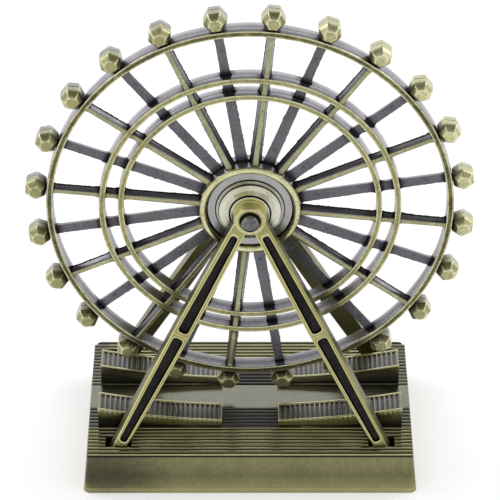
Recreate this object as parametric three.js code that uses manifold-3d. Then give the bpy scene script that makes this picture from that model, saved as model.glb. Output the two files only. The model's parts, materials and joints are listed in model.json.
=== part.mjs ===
// Desk model of a spoked ferris wheel. A hollow, drafted base with a ribbed deck carries four slatted
// boarding ramps and two leaning A-frames. The frames hold a fixed axle, and the wheel that turns on it
// is two castings laid back to back, with hexagonal pods held between their rims.
//
// Millimetres, +Z up. The origin is on the surface that the base stands on, straight below the axle,
// with +X to the right along the deck and +Y to the rear. Every rear piece mirrors its front one.

import * as THREE from "three";
import { mergeVertices } from "three/addons/utils/BufferGeometryUtils.js";
import Module from "manifold-3d";

const wasm = await Module();
wasm.setup();

// Driving dimensions.

// How far every cutting shape runs past the face that it opens.
const overrun = 1;
// Play between two cast pieces that fit into each other.
const castFit = 0.06;
// Play on the radius where the wheel turns on the axle, and along the axle beside each washer.
const runningFit = 0.05;

const base = {
  width: 82,
  depth: 48.1,
  height: 11.57,
  // How far the foot of each side stands out past the deck above it.
  draft: 1.19,
  wall: 1.7,
  deck: 2.4,
  frontCorner: 0.8,
  rearCorner: 3.2,
  // The smooth band that crosses the deck below the wheel.
  river: 9.3,
  ribPitch: 1.385,
  grooveTop: 0.68,
  grooveFloor: 0.36,
  grooveDepth: 0.45,
};

const ramp = {
  // From the wheel's middle plane to the wall that faces the wheel.
  wheelGap: 5.5,
  depth: 7.4,
  // From the middle of the deck to the low end, and from the deck's side to the high end.
  middleGap: 7.2,
  sideGap: 2.4,
  lowHeight: 2.1,
  highHeight: 5.8,
  // The top's curve is flat at the low end for this much of its rise and of its run.
  curveRiseShare: 0.11,
  curveRunShare: 0.41,
  rail: 0.7,
  endWall: 0.72,
  slat: 0.45,
  slots: 24,
  slotDepth: 1.3,
  pegRadius: 1,
  pegInset: 5,
  // How far a peg stops short of the deck's underside.
  pegShort: 0.2,
};

const wheel = {
  // From the deck to the outermost point of a pod as it passes the bottom.
  deckClearance: 3.98,
  rim: { outer: 50.2, inner: 48.55 },
  middleRing: { outer: 37.24, inner: 35.77 },
  innerRing: { outer: 32.55, inner: 31.14 },
  ringDepth: 2.23,
  rimChamfer: 0.3,
  hubRadius: 12.52,
  hubLip: 10.7,
  hubEdge: 2.66,
  beadCrest: 3.5,
  hubWeb: 1.2,
  hubBore: 4,
  spokeCrestHeight: 2,
  spokeCrestHub: 1.3,
  spokeCrestRim: 1.1,
  spokeFootHub: 2.9,
  spokeFootRim: 2.1,
  // How far a spoke's ends run into the hub and the outer ring.
  spokeBite: 0.6,
};

const bush = {
  // From the flange's edge to the cup round it.
  cupGap: 0.24,
  flange: 2.4,
  stepRadius: 8.4,
  raisedRadius: 7.63,
  raised: 3.6,
  domeRadius: 5.2,
  dome: 4.3,
  washerSeat: 3.35,
};

const washer = { radius: 4.85, thickness: 1.2 };

const axle = { radius: 2.2, dome: 0.5, recess: 0.6 };

const pod = {
  acrossCorners: 5.8,
  endAcrossCorners: 3.4,
  halfLength: 3.5,
  bandHalf: 0.65,
  rimGap: 0.25,
  tabWidth: 1.5,
  tabHalfDepth: 0.55,
  tabReach: 0.95,
};

const frame = {
  bossRadius: 4.1,
  bossLength: 3.74,
  bossRound: 1.1,
  boreChamfer: 0.45,
  legDepth: 3.45,
  // The width of a leg's front, which is greatest at the bridge between its pockets.
  legTop: 3.7,
  legMiddle: 4.36,
  legFoot: 3.08,
  // How far a leg's back stands out past its front on each side, at the top and at the deck.
  draftTop: 0.1,
  draftFoot: 0.7,
  // How far the legs' front lies behind the boss's front, at the height of the axle.
  legSetback: 0.79,
  // From the boss's middle to the middle of a leg, at the height of the axle.
  legSpread: 1.5,
  // From the deck's side to the middle of a leg, and from its front edge to the leg's front.
  footInset: 8.25,
  footSetback: 3.55,
  pocketWidth: 1.84,
  pocketBridgeWidth: 2.67,
  pocketCorner: 0.6,
  pocketDraft: 0.25,
  pocketDepth: 1.3,
  // From the axle's height to the upper pocket, and from the deck to the lower one, along the leg.
  pocketTopInset: 4.2,
  pocketFootInset: 1.1,
  pocketBridge: 1.6,
  // How far the bridge lies below the leg's middle.
  bridgeDrop: 0.3,
};

const socket = {
  length: 6.5,
  width: 4.3,
  depth: 5,
  floor: 1.6,
  wall: 1.2,
  // How far the socket's middle lies outside the middle of the leg that enters it.
  shift: 0.5,
  legPlay: 0.12,
  // The tenon's play, and how deep its top lies below the deck.
  tenonPlay: 0.35,
  tenonBelow: 1.4,
  seatGap: 0.05,
};

const screw = {
  headRadius: 1.6,
  headHeight: 1.1,
  shankRadius: 0.8,
  grip: 3,
  holeRadius: 0.95,
  pilotRadius: 0.85,
  slotWidth: 0.4,
  slotDepth: 0.45,
};

const podCount = 24;
const spokeCount = 12;
// Where the first front spoke stands, clockwise from the top as seen from the front.
const firstSpoke = THREE.MathUtils.degToRad(6);

const facets = {
  rim: 48,
  middleRing: 48,
  innerRing: 36,
  hub: 24,
  bush: 18,
  boss: 16,
  peg: 8,
  corner: 3,
  leg: 4,
  pocketCorner: 2,
  curve: 5,
};

// Places that follow from the sizes above.

const podFlat = (pod.acrossCorners * Math.sqrt(3)) / 4;
const podRadius = wheel.rim.outer + pod.rimGap + podFlat;
const axleHeight = base.height + wheel.deckClearance + podRadius + podFlat;
const bossBack = bush.washerSeat + washer.thickness + 2 * runningFit;
const bossFront = bossBack + frame.bossLength;
const legFront = bossFront - frame.legSetback;
const deckFront = base.depth / 2;
const footX = base.width / 2 - frame.footInset;
const footFront = deckFront - frame.footSetback;
const legDrop = axleHeight - base.height;
const lean = Math.atan((footFront - legFront) / legDrop);
const socketX = footX + socket.shift;
const socketY = footFront - frame.legDepth / (2 * Math.cos(lean));
const socketFloorTop = base.height - socket.depth;
const socketFloorUnder = socketFloorTop - socket.floor;
const rampStart = ramp.middleGap;
const rampLength = base.width / 2 - ramp.sideGap - rampStart;

// Solids.

/** A closed three.js geometry as a solid, with its faces turned outwards. */
function solid(geometry) {
  const bare = geometry.index ? geometry.toNonIndexed() : geometry.clone();
  bare.deleteAttribute("normal");
  bare.deleteAttribute("uv");
  const merged = mergeVertices(bare);
  const corners = merged.index.array;
  const kept = [];
  for (let i = 0; i < corners.length; i += 3) {
    const [a, b, c] = corners.subarray(i, i + 3);
    if (a !== b && b !== c && c !== a) kept.push([a, b, c]);
  }
  const made = (faces) =>
    new wasm.Manifold(
      new wasm.Mesh({
        numProp: 3,
        vertProperties: merged.attributes.position.array,
        triVerts: new Uint32Array(faces.flat()),
      }),
    );
  const first = made(kept);
  return first.volume() > 0 ? first : made(kept.map(([a, b, c]) => [a, c, b]));
}

/** The sum of several solids. */
function joined(solids) {
  return solids.reduce((sum, next) => sum.add(next));
}

/** A solid as a three.js geometry. */
function geometryOf(body) {
  const mesh = body.getMesh();
  const geometry = new THREE.BufferGeometry();
  geometry.setAttribute("position", new THREE.BufferAttribute(mesh.vertProperties, 3));
  geometry.setIndex(new THREE.BufferAttribute(mesh.triVerts, 1));
  geometry.computeVertexNormals();
  return geometry;
}

/** A closed skin over convex rings with equal numbers of points, capped at both ends. */
function skin(rings) {
  const count = rings[0].length;
  const faces = [];
  for (let level = 0; level < rings.length - 1; level += 1) {
    for (let i = 0; i < count; i += 1) {
      const here = level * count + i;
      const next = level * count + ((i + 1) % count);
      faces.push(here, next, next + count, here, next + count, here + count);
    }
  }
  const top = (rings.length - 1) * count;
  for (let i = 1; i < count - 1; i += 1) {
    faces.push(0, i + 1, i, top, top + i, top + i + 1);
  }
  const geometry = new THREE.BufferGeometry().setFromPoints(rings.flat());
  geometry.setIndex(faces);
  return solid(geometry);
}

/** A closed profile of [radius, place along Y] points, turned about the Y axis. */
function revolved(profile, segments) {
  const points = profile.map(([radius, y]) => new THREE.Vector2(radius, y));
  return solid(new THREE.LatheGeometry(points, segments));
}

/** A turned ring or disc: its profile is closed back to its first point. */
function revolvedRing(profile, segments) {
  return revolved([...profile, profile[0]], segments);
}

/** A box from its lowest to its highest corner. */
function block(low, high) {
  const size = high.map((value, i) => value - low[i]);
  const geometry = new THREE.BoxGeometry(...size);
  geometry.translate(...low.map((value, i) => value + size[i] / 2));
  return solid(geometry);
}

/** An upright round pin from one height to another. */
function uprightPin(x, y, from, to, radius) {
  const geometry = new THREE.CylinderGeometry(radius, radius, to - from, facets.peg);
  geometry.rotateX(Math.PI / 2);
  geometry.translate(x, y, (from + to) / 2);
  return solid(geometry);
}

/** An outline drawn in X and Z, carried along Y from one place to a greater one. */
function carriedAlongY(outline, from, to) {
  const depth = to - from;
  const geometry = new THREE.ExtrudeGeometry(outline, { depth, bevelEnabled: false });
  geometry.rotateX(Math.PI / 2);
  geometry.translate(0, to, 0);
  return solid(geometry);
}

/** A material with the finish of one kind of metal. */
function metal(color, roughness, metalness) {
  return new THREE.MeshStandardMaterial({ color, roughness, metalness });
}

const bronze = () => metal(0x7d7850, 0.42, 0.85);
const darkBronze = () => metal(0x4e4b3a, 0.5, 0.8);
const silver = () => metal(0xb9b9c0, 0.3, 0.95);
const steel = () => metal(0x6b6b70, 0.35, 0.95);

const model = new THREE.Group();

/** Adds one named piece to a group of the model. */
function addPiece(group, name, body, material) {
  const mesh = new THREE.Mesh(geometryOf(body), material);
  mesh.name = name;
  group.add(mesh);
  return mesh;
}

// Base casting: a drafted shell with a ribbed deck, leg sockets and peg holes.

/** The base's outline at one height, with sharp front corners and round rear ones. */
function plan(halfWidth, halfDepth, z, inset) {
  const corners = [
    [1, 1, base.rearCorner, 0],
    [-1, 1, base.rearCorner, Math.PI / 2],
    [-1, -1, base.frontCorner, Math.PI],
    [1, -1, base.frontCorner, (3 * Math.PI) / 2],
  ];
  const ring = [];
  for (const [sideX, sideY, outerRadius, start] of corners) {
    const radius = Math.max(outerRadius - inset, outerRadius / 2);
    const centreX = sideX * (halfWidth - inset - radius);
    const centreY = sideY * (halfDepth - inset - radius);
    for (let step = 0; step <= facets.corner; step += 1) {
      const angle = start + (step / facets.corner) * (Math.PI / 2);
      const x = centreX + radius * Math.cos(angle);
      const y = centreY + radius * Math.sin(angle);
      ring.push(new THREE.Vector3(x, y, z));
    }
  }
  return ring;
}

/** The drafted block from the foot up to a height, drawn in from every side by an inset. */
function draftedBlock(inset, bottom, top) {
  const spread = (z) => base.draft * (1 - Math.max(z, 0) / base.height);
  const ringAt = (z) => plan(base.width / 2 + spread(z), base.depth / 2 + spread(z), z, inset);
  return skin([ringAt(bottom), ringAt(top)]);
}

/** One groove between two ribs of the deck, along its whole width. */
function groove(middle) {
  const reach = base.width / 2 + base.draft + overrun;
  const halfTop = base.grooveTop / 2;
  const halfFloor = base.grooveFloor / 2;
  const floor = base.height - base.grooveDepth;
  const roof = base.height + overrun;
  const ringAt = (x) =>
    [
      [middle - halfFloor, floor],
      [middle + halfFloor, floor],
      [middle + halfTop, base.height],
      [middle + halfTop, roof],
      [middle - halfTop, roof],
      [middle - halfTop, base.height],
    ].map(([y, z]) => new THREE.Vector3(x, y, z));
  return skin([ringAt(-reach), ringAt(reach)]);
}

/** A box round a socket's middle in one quarter of the deck, grown or shrunk by a margin. */
function socketBlock(sideX, sideY, margin, bottom, top) {
  const x = sideX * socketX;
  const y = sideY * socketY;
  const halfLength = socket.length / 2 + margin;
  const halfWidth = socket.width / 2 + margin;
  return block([x - halfLength, y - halfWidth, bottom], [x + halfLength, y + halfWidth, top]);
}

const quarters = [
  ["front_left", -1, -1],
  ["front_right", 1, -1],
  ["rear_left", -1, 1],
  ["rear_right", 1, 1],
];

/** The places of a ramp's two pegs. */
function pegPlaces(sideX, sideY) {
  const y = sideY * (ramp.wheelGap + ramp.depth / 2);
  const places = [rampStart + ramp.pegInset, rampStart + rampLength - ramp.pegInset];
  return places.map((x) => [sideX * x, y]);
}

function makeBase() {
  const roof = base.height - base.deck;
  let body = draftedBlock(0, 0, base.height);
  body = body.subtract(draftedBlock(base.wall, -overrun, roof));
  for (const [, sideX, sideY] of quarters) {
    body = body.add(socketBlock(sideX, sideY, socket.wall, socketFloorUnder, roof + base.deck / 2));
  }
  const above = base.height + overrun;
  const holeFoot = socketFloorUnder - overrun;
  for (const [, sideX, sideY] of quarters) {
    body = body.subtract(socketBlock(sideX, sideY, 0, socketFloorTop, above));
    const hole = uprightPin(sideX * socketX, sideY * socketY, holeFoot, above, screw.holeRadius);
    body = body.subtract(hole);
    for (const [x, y] of pegPlaces(sideX, sideY)) {
      body = body.subtract(uprightPin(x, y, roof - overrun, above, ramp.pegRadius + castFit));
    }
  }
  const edge = base.depth / 2 - base.river / 2;
  const grooves = Math.floor(edge / base.ribPitch);
  for (let i = 0; i < grooves; i += 1) {
    const middle = base.river / 2 + (i + 1 / 2) * base.ribPitch;
    body = body.subtract(groove(middle)).subtract(groove(-middle));
  }
  return body;
}

// Boarding ramps: wedges with a hollow-curved top, crossed by slats between two rails.

/** A ramp's height above the deck at a distance from its low end. */
function rampHeight(along) {
  const rise = ramp.highHeight - ramp.lowHeight;
  const slope = (ramp.curveRiseShare * rise) / (ramp.curveRunShare * rampLength);
  const quadratic = (rise - slope * rampLength) / rampLength ** 2;
  return ramp.lowHeight + slope * along + quadratic * along ** 2;
}

function makeRamp(sideX, sideY) {
  const outline = new THREE.Shape();
  outline.moveTo(sideX * rampStart, base.height);
  outline.lineTo(sideX * (rampStart + rampLength), base.height);
  for (let step = facets.curve; step >= 0; step -= 1) {
    const along = (step / facets.curve) * rampLength;
    outline.lineTo(sideX * (rampStart + along), base.height + rampHeight(along));
  }
  const near = sideY * ramp.wheelGap;
  const far = sideY * (ramp.wheelGap + ramp.depth);
  const low = Math.min(near, far);
  const high = Math.max(near, far);
  let body = carriedAlongY(outline, low, high);
  const slot = (rampLength - 2 * ramp.endWall - (ramp.slots - 1) * ramp.slat) / ramp.slots;
  for (let i = 0; i < ramp.slots; i += 1) {
    const start = ramp.endWall + i * (slot + ramp.slat);
    const floor = base.height + rampHeight(start + slot / 2) - ramp.slotDepth;
    const ends = [sideX * (rampStart + start), sideX * (rampStart + start + slot)];
    body = body.subtract(
      block(
        [Math.min(...ends), low + ramp.rail, floor],
        [Math.max(...ends), high - ramp.rail, floor + 2 * ramp.slotDepth],
      ),
    );
  }
  const pegFoot = base.height - base.deck + ramp.pegShort;
  for (const [x, y] of pegPlaces(sideX, sideY)) {
    body = body.add(uprightPin(x, y, pegFoot, base.height + ramp.lowHeight / 2, ramp.pegRadius));
  }
  return body;
}

// A-frames: two pocketed legs that lean forwards from a boss down to their sockets.

/** Moves a shape from the legs' own upright plane, with its front on Y = 0, to their leaning place. */
function leaned(geometry) {
  geometry.rotateX(-lean);
  geometry.translate(0, -legFront, axleHeight);
  return solid(geometry);
}

const legLength = legDrop / Math.cos(lean);
const bridgeMiddle = legLength / 2 + frame.bridgeDrop;

/** A point in a leg: down from the axle's height, across from its middle line, behind its front. */
function legPoint(side, down, across, behind) {
  const run = footX - frame.legSpread;
  const axis = new THREE.Vector2(run, -legLength);
  const outwards = new THREE.Vector2(legLength, run).normalize();
  const spot = new THREE.Vector2(frame.legSpread, 0)
    .addScaledVector(axis, down / legLength)
    .addScaledVector(outwards, across);
  return new THREE.Vector3(side * spot.x, behind, spot.y);
}

/** Half the width of a leg at its front: a smooth curve through its top, bridge and foot. */
function legHalfWidth(down) {
  const share = down / legLength;
  const bridge = bridgeMiddle / legLength;
  const swell = frame.legMiddle - frame.legTop - (frame.legFoot - frame.legTop) * bridge;
  const bulge = (swell * share * (1 - share)) / (bridge * (1 - bridge));
  return (frame.legTop + (frame.legFoot - frame.legTop) * share + bulge) / 2;
}

/** A leg's outline at its front or its back, from the axle's height down past its socket's floor. */
function legRing(side, behind) {
  const below = legLength + (socket.depth + overrun) / Math.cos(lean);
  const ring = [];
  for (const edge of [1, -1]) {
    const places = [below];
    for (let step = facets.leg; step >= 0; step -= 1) places.push((step / facets.leg) * legLength);
    if (edge < 0) places.reverse();
    for (const down of places) {
      const draft = THREE.MathUtils.lerp(frame.draftTop, frame.draftFoot, down / legLength);
      const half = legHalfWidth(down) + (draft * behind) / frame.legDepth;
      ring.push(legPoint(side, down, edge * half, behind));
    }
  }
  return ring;
}

/** A pocket's outline at one depth: its ends lie at two distances down and have two half widths. */
function pocketRing(side, ends, halves, inset, behind) {
  const radius = frame.pocketCorner;
  const corners = [
    [0, 1],
    [0, -1],
    [1, -1],
    [1, 1],
  ];
  return corners.flatMap(([end, edge], quarter) => {
    const middleDown = ends[end] + (1 - 2 * end) * radius;
    const middleAcross = edge * (halves[end] - radius);
    const arc = [];
    for (let step = 0; step <= facets.pocketCorner; step += 1) {
      const angle = (quarter + step / facets.pocketCorner) * (Math.PI / 2);
      const down = middleDown - (radius - inset) * Math.sin(angle);
      const across = middleAcross + (radius - inset) * Math.cos(angle);
      arc.push(legPoint(side, down, across, behind));
    }
    return arc;
  });
}

/** The room of a pocket, which narrows towards its floor. */
function pocketRoom(side, ends, halves) {
  const slope = frame.pocketDraft / frame.pocketDepth;
  return leaned(
    geometryOf(
      skin([
        pocketRing(side, ends, halves, -overrun * slope, -overrun),
        pocketRing(side, ends, halves, frame.pocketDraft, frame.pocketDepth),
      ]),
    ),
  );
}

/** One leg, cut to its socket below the deck. */
function makeLeg(side) {
  const seat = socketFloorTop + socket.seatGap;
  const aboveDeck = block(
    [-base.width, -base.depth, base.height],
    [base.width, -bossBack, axleHeight + frame.bossRadius],
  );
  const room = aboveDeck.add(socketBlock(side, -1, -socket.legPlay, seat, base.height + overrun));
  const halfNarrow = frame.pocketWidth / 2;
  const halfWide = frame.pocketBridgeWidth / 2;
  const upper = [frame.pocketTopInset, bridgeMiddle - frame.pocketBridge / 2];
  const lower = [bridgeMiddle + frame.pocketBridge / 2, legLength - frame.pocketFootInset];
  const leg = leaned(geometryOf(skin([legRing(side, 0), legRing(side, frame.legDepth)])))
    .intersect(room)
    .subtract(pocketRoom(side, upper, [halfNarrow, halfWide]))
    .subtract(pocketRoom(side, lower, [halfWide, halfNarrow]));
  const tenonTop = base.height - socket.tenonBelow;
  const tenon = socketBlock(side, -1, -socket.tenonPlay, seat, tenonTop);
  const pilotFoot = socketFloorTop - overrun;
  const pilotTop = socketFloorTop + screw.grip + overrun;
  const pilot = uprightPin(side * socketX, -socketY, pilotFoot, pilotTop, screw.pilotRadius);
  return leg.add(tenon).subtract(pilot);
}

/** The boss that holds the axle, with a rounded front edge. */
function makeBoss() {
  const { bossRadius, bossRound } = frame;
  const profile = [
    [0, -bossBack],
    [bossRadius, -bossBack],
  ];
  for (let step = 0; step <= facets.corner; step += 1) {
    const angle = (step / facets.corner) * (Math.PI / 2);
    profile.push([
      bossRadius - bossRound * (1 - Math.cos(angle)),
      -(bossFront - bossRound * (1 - Math.sin(angle))),
    ]);
  }
  profile.push([0, -bossFront]);
  return revolved(profile, facets.boss);
}

/** The boss's bore, opened by a chamfer at its front. */
function makeBossBore() {
  const radius = axle.radius + runningFit;
  return revolved(
    [
      [0, -bossBack + overrun],
      [radius, -bossBack + overrun],
      [radius, -(bossFront - frame.boreChamfer)],
      [radius + frame.boreChamfer + overrun, -(bossFront + overrun)],
      [0, -(bossFront + overrun)],
    ],
    facets.boss,
  );
}

/** A solid that was turned about the Y axis through the origin, lifted to the axle. */
function atAxle(body) {
  const geometry = geometryOf(body);
  geometry.translate(0, 0, axleHeight);
  return solid(geometry);
}

function makeFrame() {
  const legs = joined([makeLeg(-1), makeLeg(1)]);
  return legs.add(atAxle(makeBoss())).subtract(atAxle(makeBossBore()));
}

// Screws that hold the frames' tenons from below.

function makeFootScrew(sideX, sideY) {
  const x = sideX * socketX;
  const y = sideY * socketY;
  const headTop = socketFloorUnder;
  const headFoot = headTop - screw.headHeight;
  const head = uprightPin(x, y, headFoot, headTop, screw.headRadius);
  const shankTop = socketFloorTop + screw.grip;
  const shank = uprightPin(x, y, headFoot + screw.headHeight / 2, shankTop, screw.shankRadius);
  const halfSlot = screw.slotWidth / 2;
  const reach = screw.headRadius + overrun;
  const slot = block(
    [x - reach, y - halfSlot, headFoot - overrun],
    [x + reach, y + halfSlot, headFoot + screw.slotDepth],
  );
  return head.add(shank).subtract(slot);
}

// Axle and washers.

function makeAxle() {
  const end = bossFront - axle.recess;
  const shoulder = end - axle.dome;
  const rim = axle.radius * Math.SQRT1_2;
  const crown = shoulder + axle.dome * Math.SQRT1_2;
  return revolved(
    [
      [0, -end],
      [rim, -crown],
      [axle.radius, -shoulder],
      [axle.radius, shoulder],
      [rim, crown],
      [0, end],
    ],
    facets.boss,
  );
}

function makeWasher(end) {
  const bore = axle.radius + runningFit;
  const back = bush.washerSeat + runningFit;
  const front = back + washer.thickness;
  return revolvedRing(
    [
      [bore, end * back],
      [washer.radius, end * back],
      [washer.radius, end * front],
      [bore, end * front],
    ],
    facets.boss,
  );
}

// Wheel: two half castings, a stepped bush in each hub, and the pods.

/** A plain ring of one half casting, from the parting plane outwards. */
function makeRing({ outer, inner }, end, segments) {
  const face = end * wheel.ringDepth;
  return revolvedRing(
    [
      [inner, 0],
      [outer, 0],
      [outer, face],
      [inner, face],
    ],
    segments,
  );
}

/** The rim that the pods stand on, with both edges of its face chamfered. */
function makeRim({ outer, inner }, end) {
  const face = end * wheel.ringDepth;
  const shoulder = end * (wheel.ringDepth - wheel.rimChamfer);
  return revolvedRing(
    [
      [inner, 0],
      [outer, 0],
      [outer, shoulder],
      [outer - wheel.rimChamfer, face],
      [inner + wheel.rimChamfer, face],
      [inner, shoulder],
    ],
    facets.rim,
  );
}

/** The hub cup of one half casting, with a rounded bead round its rim. */
function makeHub(end) {
  const beadMiddle = (wheel.hubRadius + wheel.hubLip) / 2;
  const beadHalf = (wheel.hubRadius - wheel.hubLip) / 2;
  const beadRise = wheel.beadCrest - wheel.hubEdge;
  const profile = [
    [wheel.hubBore, 0],
    [wheel.hubRadius, 0],
  ];
  for (let step = 0; step <= facets.corner; step += 1) {
    const angle = (step / facets.corner) * Math.PI;
    const out = wheel.hubEdge + beadRise * Math.sin(angle);
    profile.push([beadMiddle + beadHalf * Math.cos(angle), end * out]);
  }
  profile.push([wheel.hubLip, end * wheel.hubWeb], [wheel.hubBore, end * wheel.hubWeb]);
  return revolvedRing(profile, facets.hub);
}

/** A point of the wheel: so far out from the axle, across to one side, and along the axle. */
function wheelPoint(angle, radius, across, y) {
  return new THREE.Vector3(
    radius * Math.sin(angle) + across * Math.cos(angle),
    y,
    radius * Math.cos(angle) - across * Math.sin(angle),
  );
}

/** A box in the wheel's plane: along one radius, to both sides of it, and along the axle. */
function radialBlock(angle, from, to, halfAcross, yLow, yHigh) {
  const ringAt = (radius) => [
    wheelPoint(angle, radius, -halfAcross, yLow),
    wheelPoint(angle, radius, halfAcross, yLow),
    wheelPoint(angle, radius, halfAcross, yHigh),
    wheelPoint(angle, radius, -halfAcross, yHigh),
  ];
  return skin([ringAt(from), ringAt(to)]);
}

/** A tapered spoke: flat on the parting plane, with a narrower crest outside. */
function makeSpoke(angle, end) {
  const crest = end * wheel.spokeCrestHeight;
  const ringAt = (radius, foot, top) => [
    wheelPoint(angle, radius, -foot / 2, 0),
    wheelPoint(angle, radius, foot / 2, 0),
    wheelPoint(angle, radius, top / 2, crest),
    wheelPoint(angle, radius, -top / 2, crest),
  ];
  return skin([
    ringAt(wheel.hubRadius - wheel.spokeBite, wheel.spokeFootHub, wheel.spokeCrestHub),
    ringAt(wheel.rim.inner + wheel.spokeBite, wheel.spokeFootRim, wheel.spokeCrestRim),
  ]);
}

/** The half notches that the pods' tabs lie in. */
function makeNotch(angle, end) {
  const depth = pod.tabHalfDepth + castFit;
  const from = wheel.rim.outer - pod.tabReach - castFit;
  const to = wheel.rim.outer + overrun;
  const inside = -end * overrun;
  const ys = [inside, end * depth].sort((a, b) => a - b);
  return radialBlock(angle, from, to, pod.tabWidth / 2 + castFit, ...ys);
}

function makeWheelHalf(end) {
  const parts = [
    makeRim(wheel.rim, end),
    makeRing(wheel.middleRing, end, facets.middleRing),
    makeRing(wheel.innerRing, end, facets.innerRing),
    makeHub(end),
  ];
  const step = (2 * Math.PI) / spokeCount;
  // The rear casting is turned half a step, so that its spokes fill the front one's gaps.
  const first = end < 0 ? firstSpoke : firstSpoke + step / 2;
  for (let i = 0; i < spokeCount; i += 1) {
    parts.push(makeSpoke(first + i * step, end));
  }
  let body = joined(parts);
  for (let i = 0; i < podCount; i += 1) {
    body = body.subtract(makeNotch(podAngle(i), end));
  }
  return body;
}

function podAngle(i) {
  return firstSpoke + (i * 2 * Math.PI) / podCount;
}

/** The stepped bush pressed in one hub: a sleeve, a flange, a raised dome and the washer's seat. */
function makeBush(end) {
  const bore = axle.radius + runningFit;
  const sleeve = wheel.hubBore - castFit;
  const flangeRadius = wheel.hubLip - bush.cupGap;
  const profile = [
    [bore, castFit],
    [sleeve, castFit],
    [sleeve, wheel.hubWeb + castFit],
    [flangeRadius, wheel.hubWeb + castFit],
    [flangeRadius, bush.flange],
    [bush.stepRadius, bush.flange],
    [bush.raisedRadius, bush.raised],
    [bush.domeRadius, bush.dome],
    [bush.domeRadius, bush.washerSeat],
    [bore, bush.washerSeat],
  ];
  return revolvedRing(
    profile.map(([radius, out]) => [radius, end * out]),
    facets.bush,
  );
}

/** A hexagon across the axle, with two flats square to the radius through its middle. */
function podRing(angle, acrossCorners, y) {
  const ring = [];
  for (let i = 0; i < 6; i += 1) {
    const turn = (i * Math.PI) / 3;
    const across = (acrossCorners / 2) * Math.cos(turn);
    const outwards = (acrossCorners / 2) * Math.sin(turn);
    ring.push(wheelPoint(angle, podRadius + outwards, across, y));
  }
  return ring;
}

/** One pod: a hexagonal band that narrows to both ends, on a tab that the rim holds. */
function makePod(angle) {
  const body = skin([
    podRing(angle, pod.endAcrossCorners, -pod.halfLength),
    podRing(angle, pod.acrossCorners, -pod.bandHalf),
    podRing(angle, pod.acrossCorners, pod.bandHalf),
    podRing(angle, pod.endAcrossCorners, pod.halfLength),
  ]);
  const from = wheel.rim.outer - pod.tabReach;
  const tab = radialBlock(angle, from, podRadius, pod.tabWidth / 2, -pod.tabHalfDepth, pod.tabHalfDepth);
  return body.add(tab);
}

// Assembly: what stands still, and the wheel's group at the axle.

addPiece(model, "base_casting", makeBase(), darkBronze());
for (const [place, sideX, sideY] of quarters) {
  addPiece(model, "ramp_" + place, makeRamp(sideX, sideY), bronze());
  addPiece(model, "foot_screw_" + place, makeFootScrew(sideX, sideY), steel());
}
const frameBody = makeFrame();
addPiece(model, "front_frame", frameBody, bronze());
addPiece(model, "rear_frame", frameBody, bronze()).rotation.z = Math.PI;

const axleGroup = new THREE.Group();
axleGroup.position.z = axleHeight;
model.add(axleGroup);
addPiece(axleGroup, "axle", makeAxle(), steel());
for (const [place, end] of [
  ["front", -1],
  ["rear", 1],
]) {
  addPiece(axleGroup, place + "_washer", makeWasher(end), silver());
  addPiece(axleGroup, "wheel_" + place + "_half", makeWheelHalf(end), end < 0 ? bronze() : darkBronze());
  addPiece(axleGroup, place + "_hub_bush", makeBush(end), silver());
}
for (let i = 0; i < podCount; i += 1) {
  const number = String(i + 1).padStart(2, "0");
  addPiece(axleGroup, "pod_" + number, makePod(podAngle(i)), bronze());
}

export default model;
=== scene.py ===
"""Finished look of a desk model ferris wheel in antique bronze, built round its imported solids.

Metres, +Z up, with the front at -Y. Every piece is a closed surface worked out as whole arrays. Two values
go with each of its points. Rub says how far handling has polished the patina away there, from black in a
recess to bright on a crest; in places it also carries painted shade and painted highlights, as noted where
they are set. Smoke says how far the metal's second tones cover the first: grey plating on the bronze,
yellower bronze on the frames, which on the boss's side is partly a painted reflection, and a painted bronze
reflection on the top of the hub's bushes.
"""

import json
import math

import bpy
import numpy as np
from mathutils import Matrix, Vector


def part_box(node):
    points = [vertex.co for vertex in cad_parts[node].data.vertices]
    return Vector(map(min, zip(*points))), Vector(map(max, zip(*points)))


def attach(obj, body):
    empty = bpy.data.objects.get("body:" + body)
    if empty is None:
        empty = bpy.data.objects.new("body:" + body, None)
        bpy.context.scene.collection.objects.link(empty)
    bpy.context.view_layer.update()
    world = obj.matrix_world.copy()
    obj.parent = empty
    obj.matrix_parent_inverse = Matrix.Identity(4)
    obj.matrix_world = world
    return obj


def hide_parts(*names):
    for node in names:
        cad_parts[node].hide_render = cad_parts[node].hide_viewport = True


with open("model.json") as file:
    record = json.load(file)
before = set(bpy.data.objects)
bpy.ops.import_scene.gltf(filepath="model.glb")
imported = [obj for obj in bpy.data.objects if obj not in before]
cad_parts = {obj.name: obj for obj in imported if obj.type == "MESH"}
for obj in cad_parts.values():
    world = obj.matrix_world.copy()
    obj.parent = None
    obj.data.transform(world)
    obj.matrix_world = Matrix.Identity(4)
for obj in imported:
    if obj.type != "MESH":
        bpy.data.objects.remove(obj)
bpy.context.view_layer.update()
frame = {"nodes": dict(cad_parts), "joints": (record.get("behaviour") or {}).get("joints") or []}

bl_info = {
    "name": "Ferris wheel desk model",
    "version": (1, 0, 0),
    "blender": (4, 5, 0),
    "location": "View3D > Sidebar > Ferris wheel",
    "description": "Builds the castings, pods and turned parts of a bronze desk model ferris wheel",
    "category": "Add Mesh",
}

MM = 0.001
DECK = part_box("base_casting")[1].z
AXLE_HEIGHT = frame["joints"][0]["pos_m"][2]
QUARTERS = (("front_left", -1, -1), ("front_right", 1, -1), ("rear_left", -1, 1), ("rear_right", 1, 1))
ENDS = (("front", -1), ("rear", 1))
POD_COUNT = 24
SPOKE_COUNT = 12
SPOKE_STEP = 2 * math.pi / SPOKE_COUNT
SHARP_ANGLE = math.radians(40)
TONES = ("Black", "Dark", "Middle", "Bright")


def length(name, description, millimetres):
    """A size that a user may change, given here in millimetres."""
    return bpy.props.FloatProperty(
        name=name, description=description, default=millimetres * MM, unit="LENGTH", precision=5
    )


def amount(name, description, default, high=1.0):
    """A plain number that a user may change."""
    return bpy.props.FloatProperty(name=name, description=description, default=default, min=0, max=high)


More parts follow.
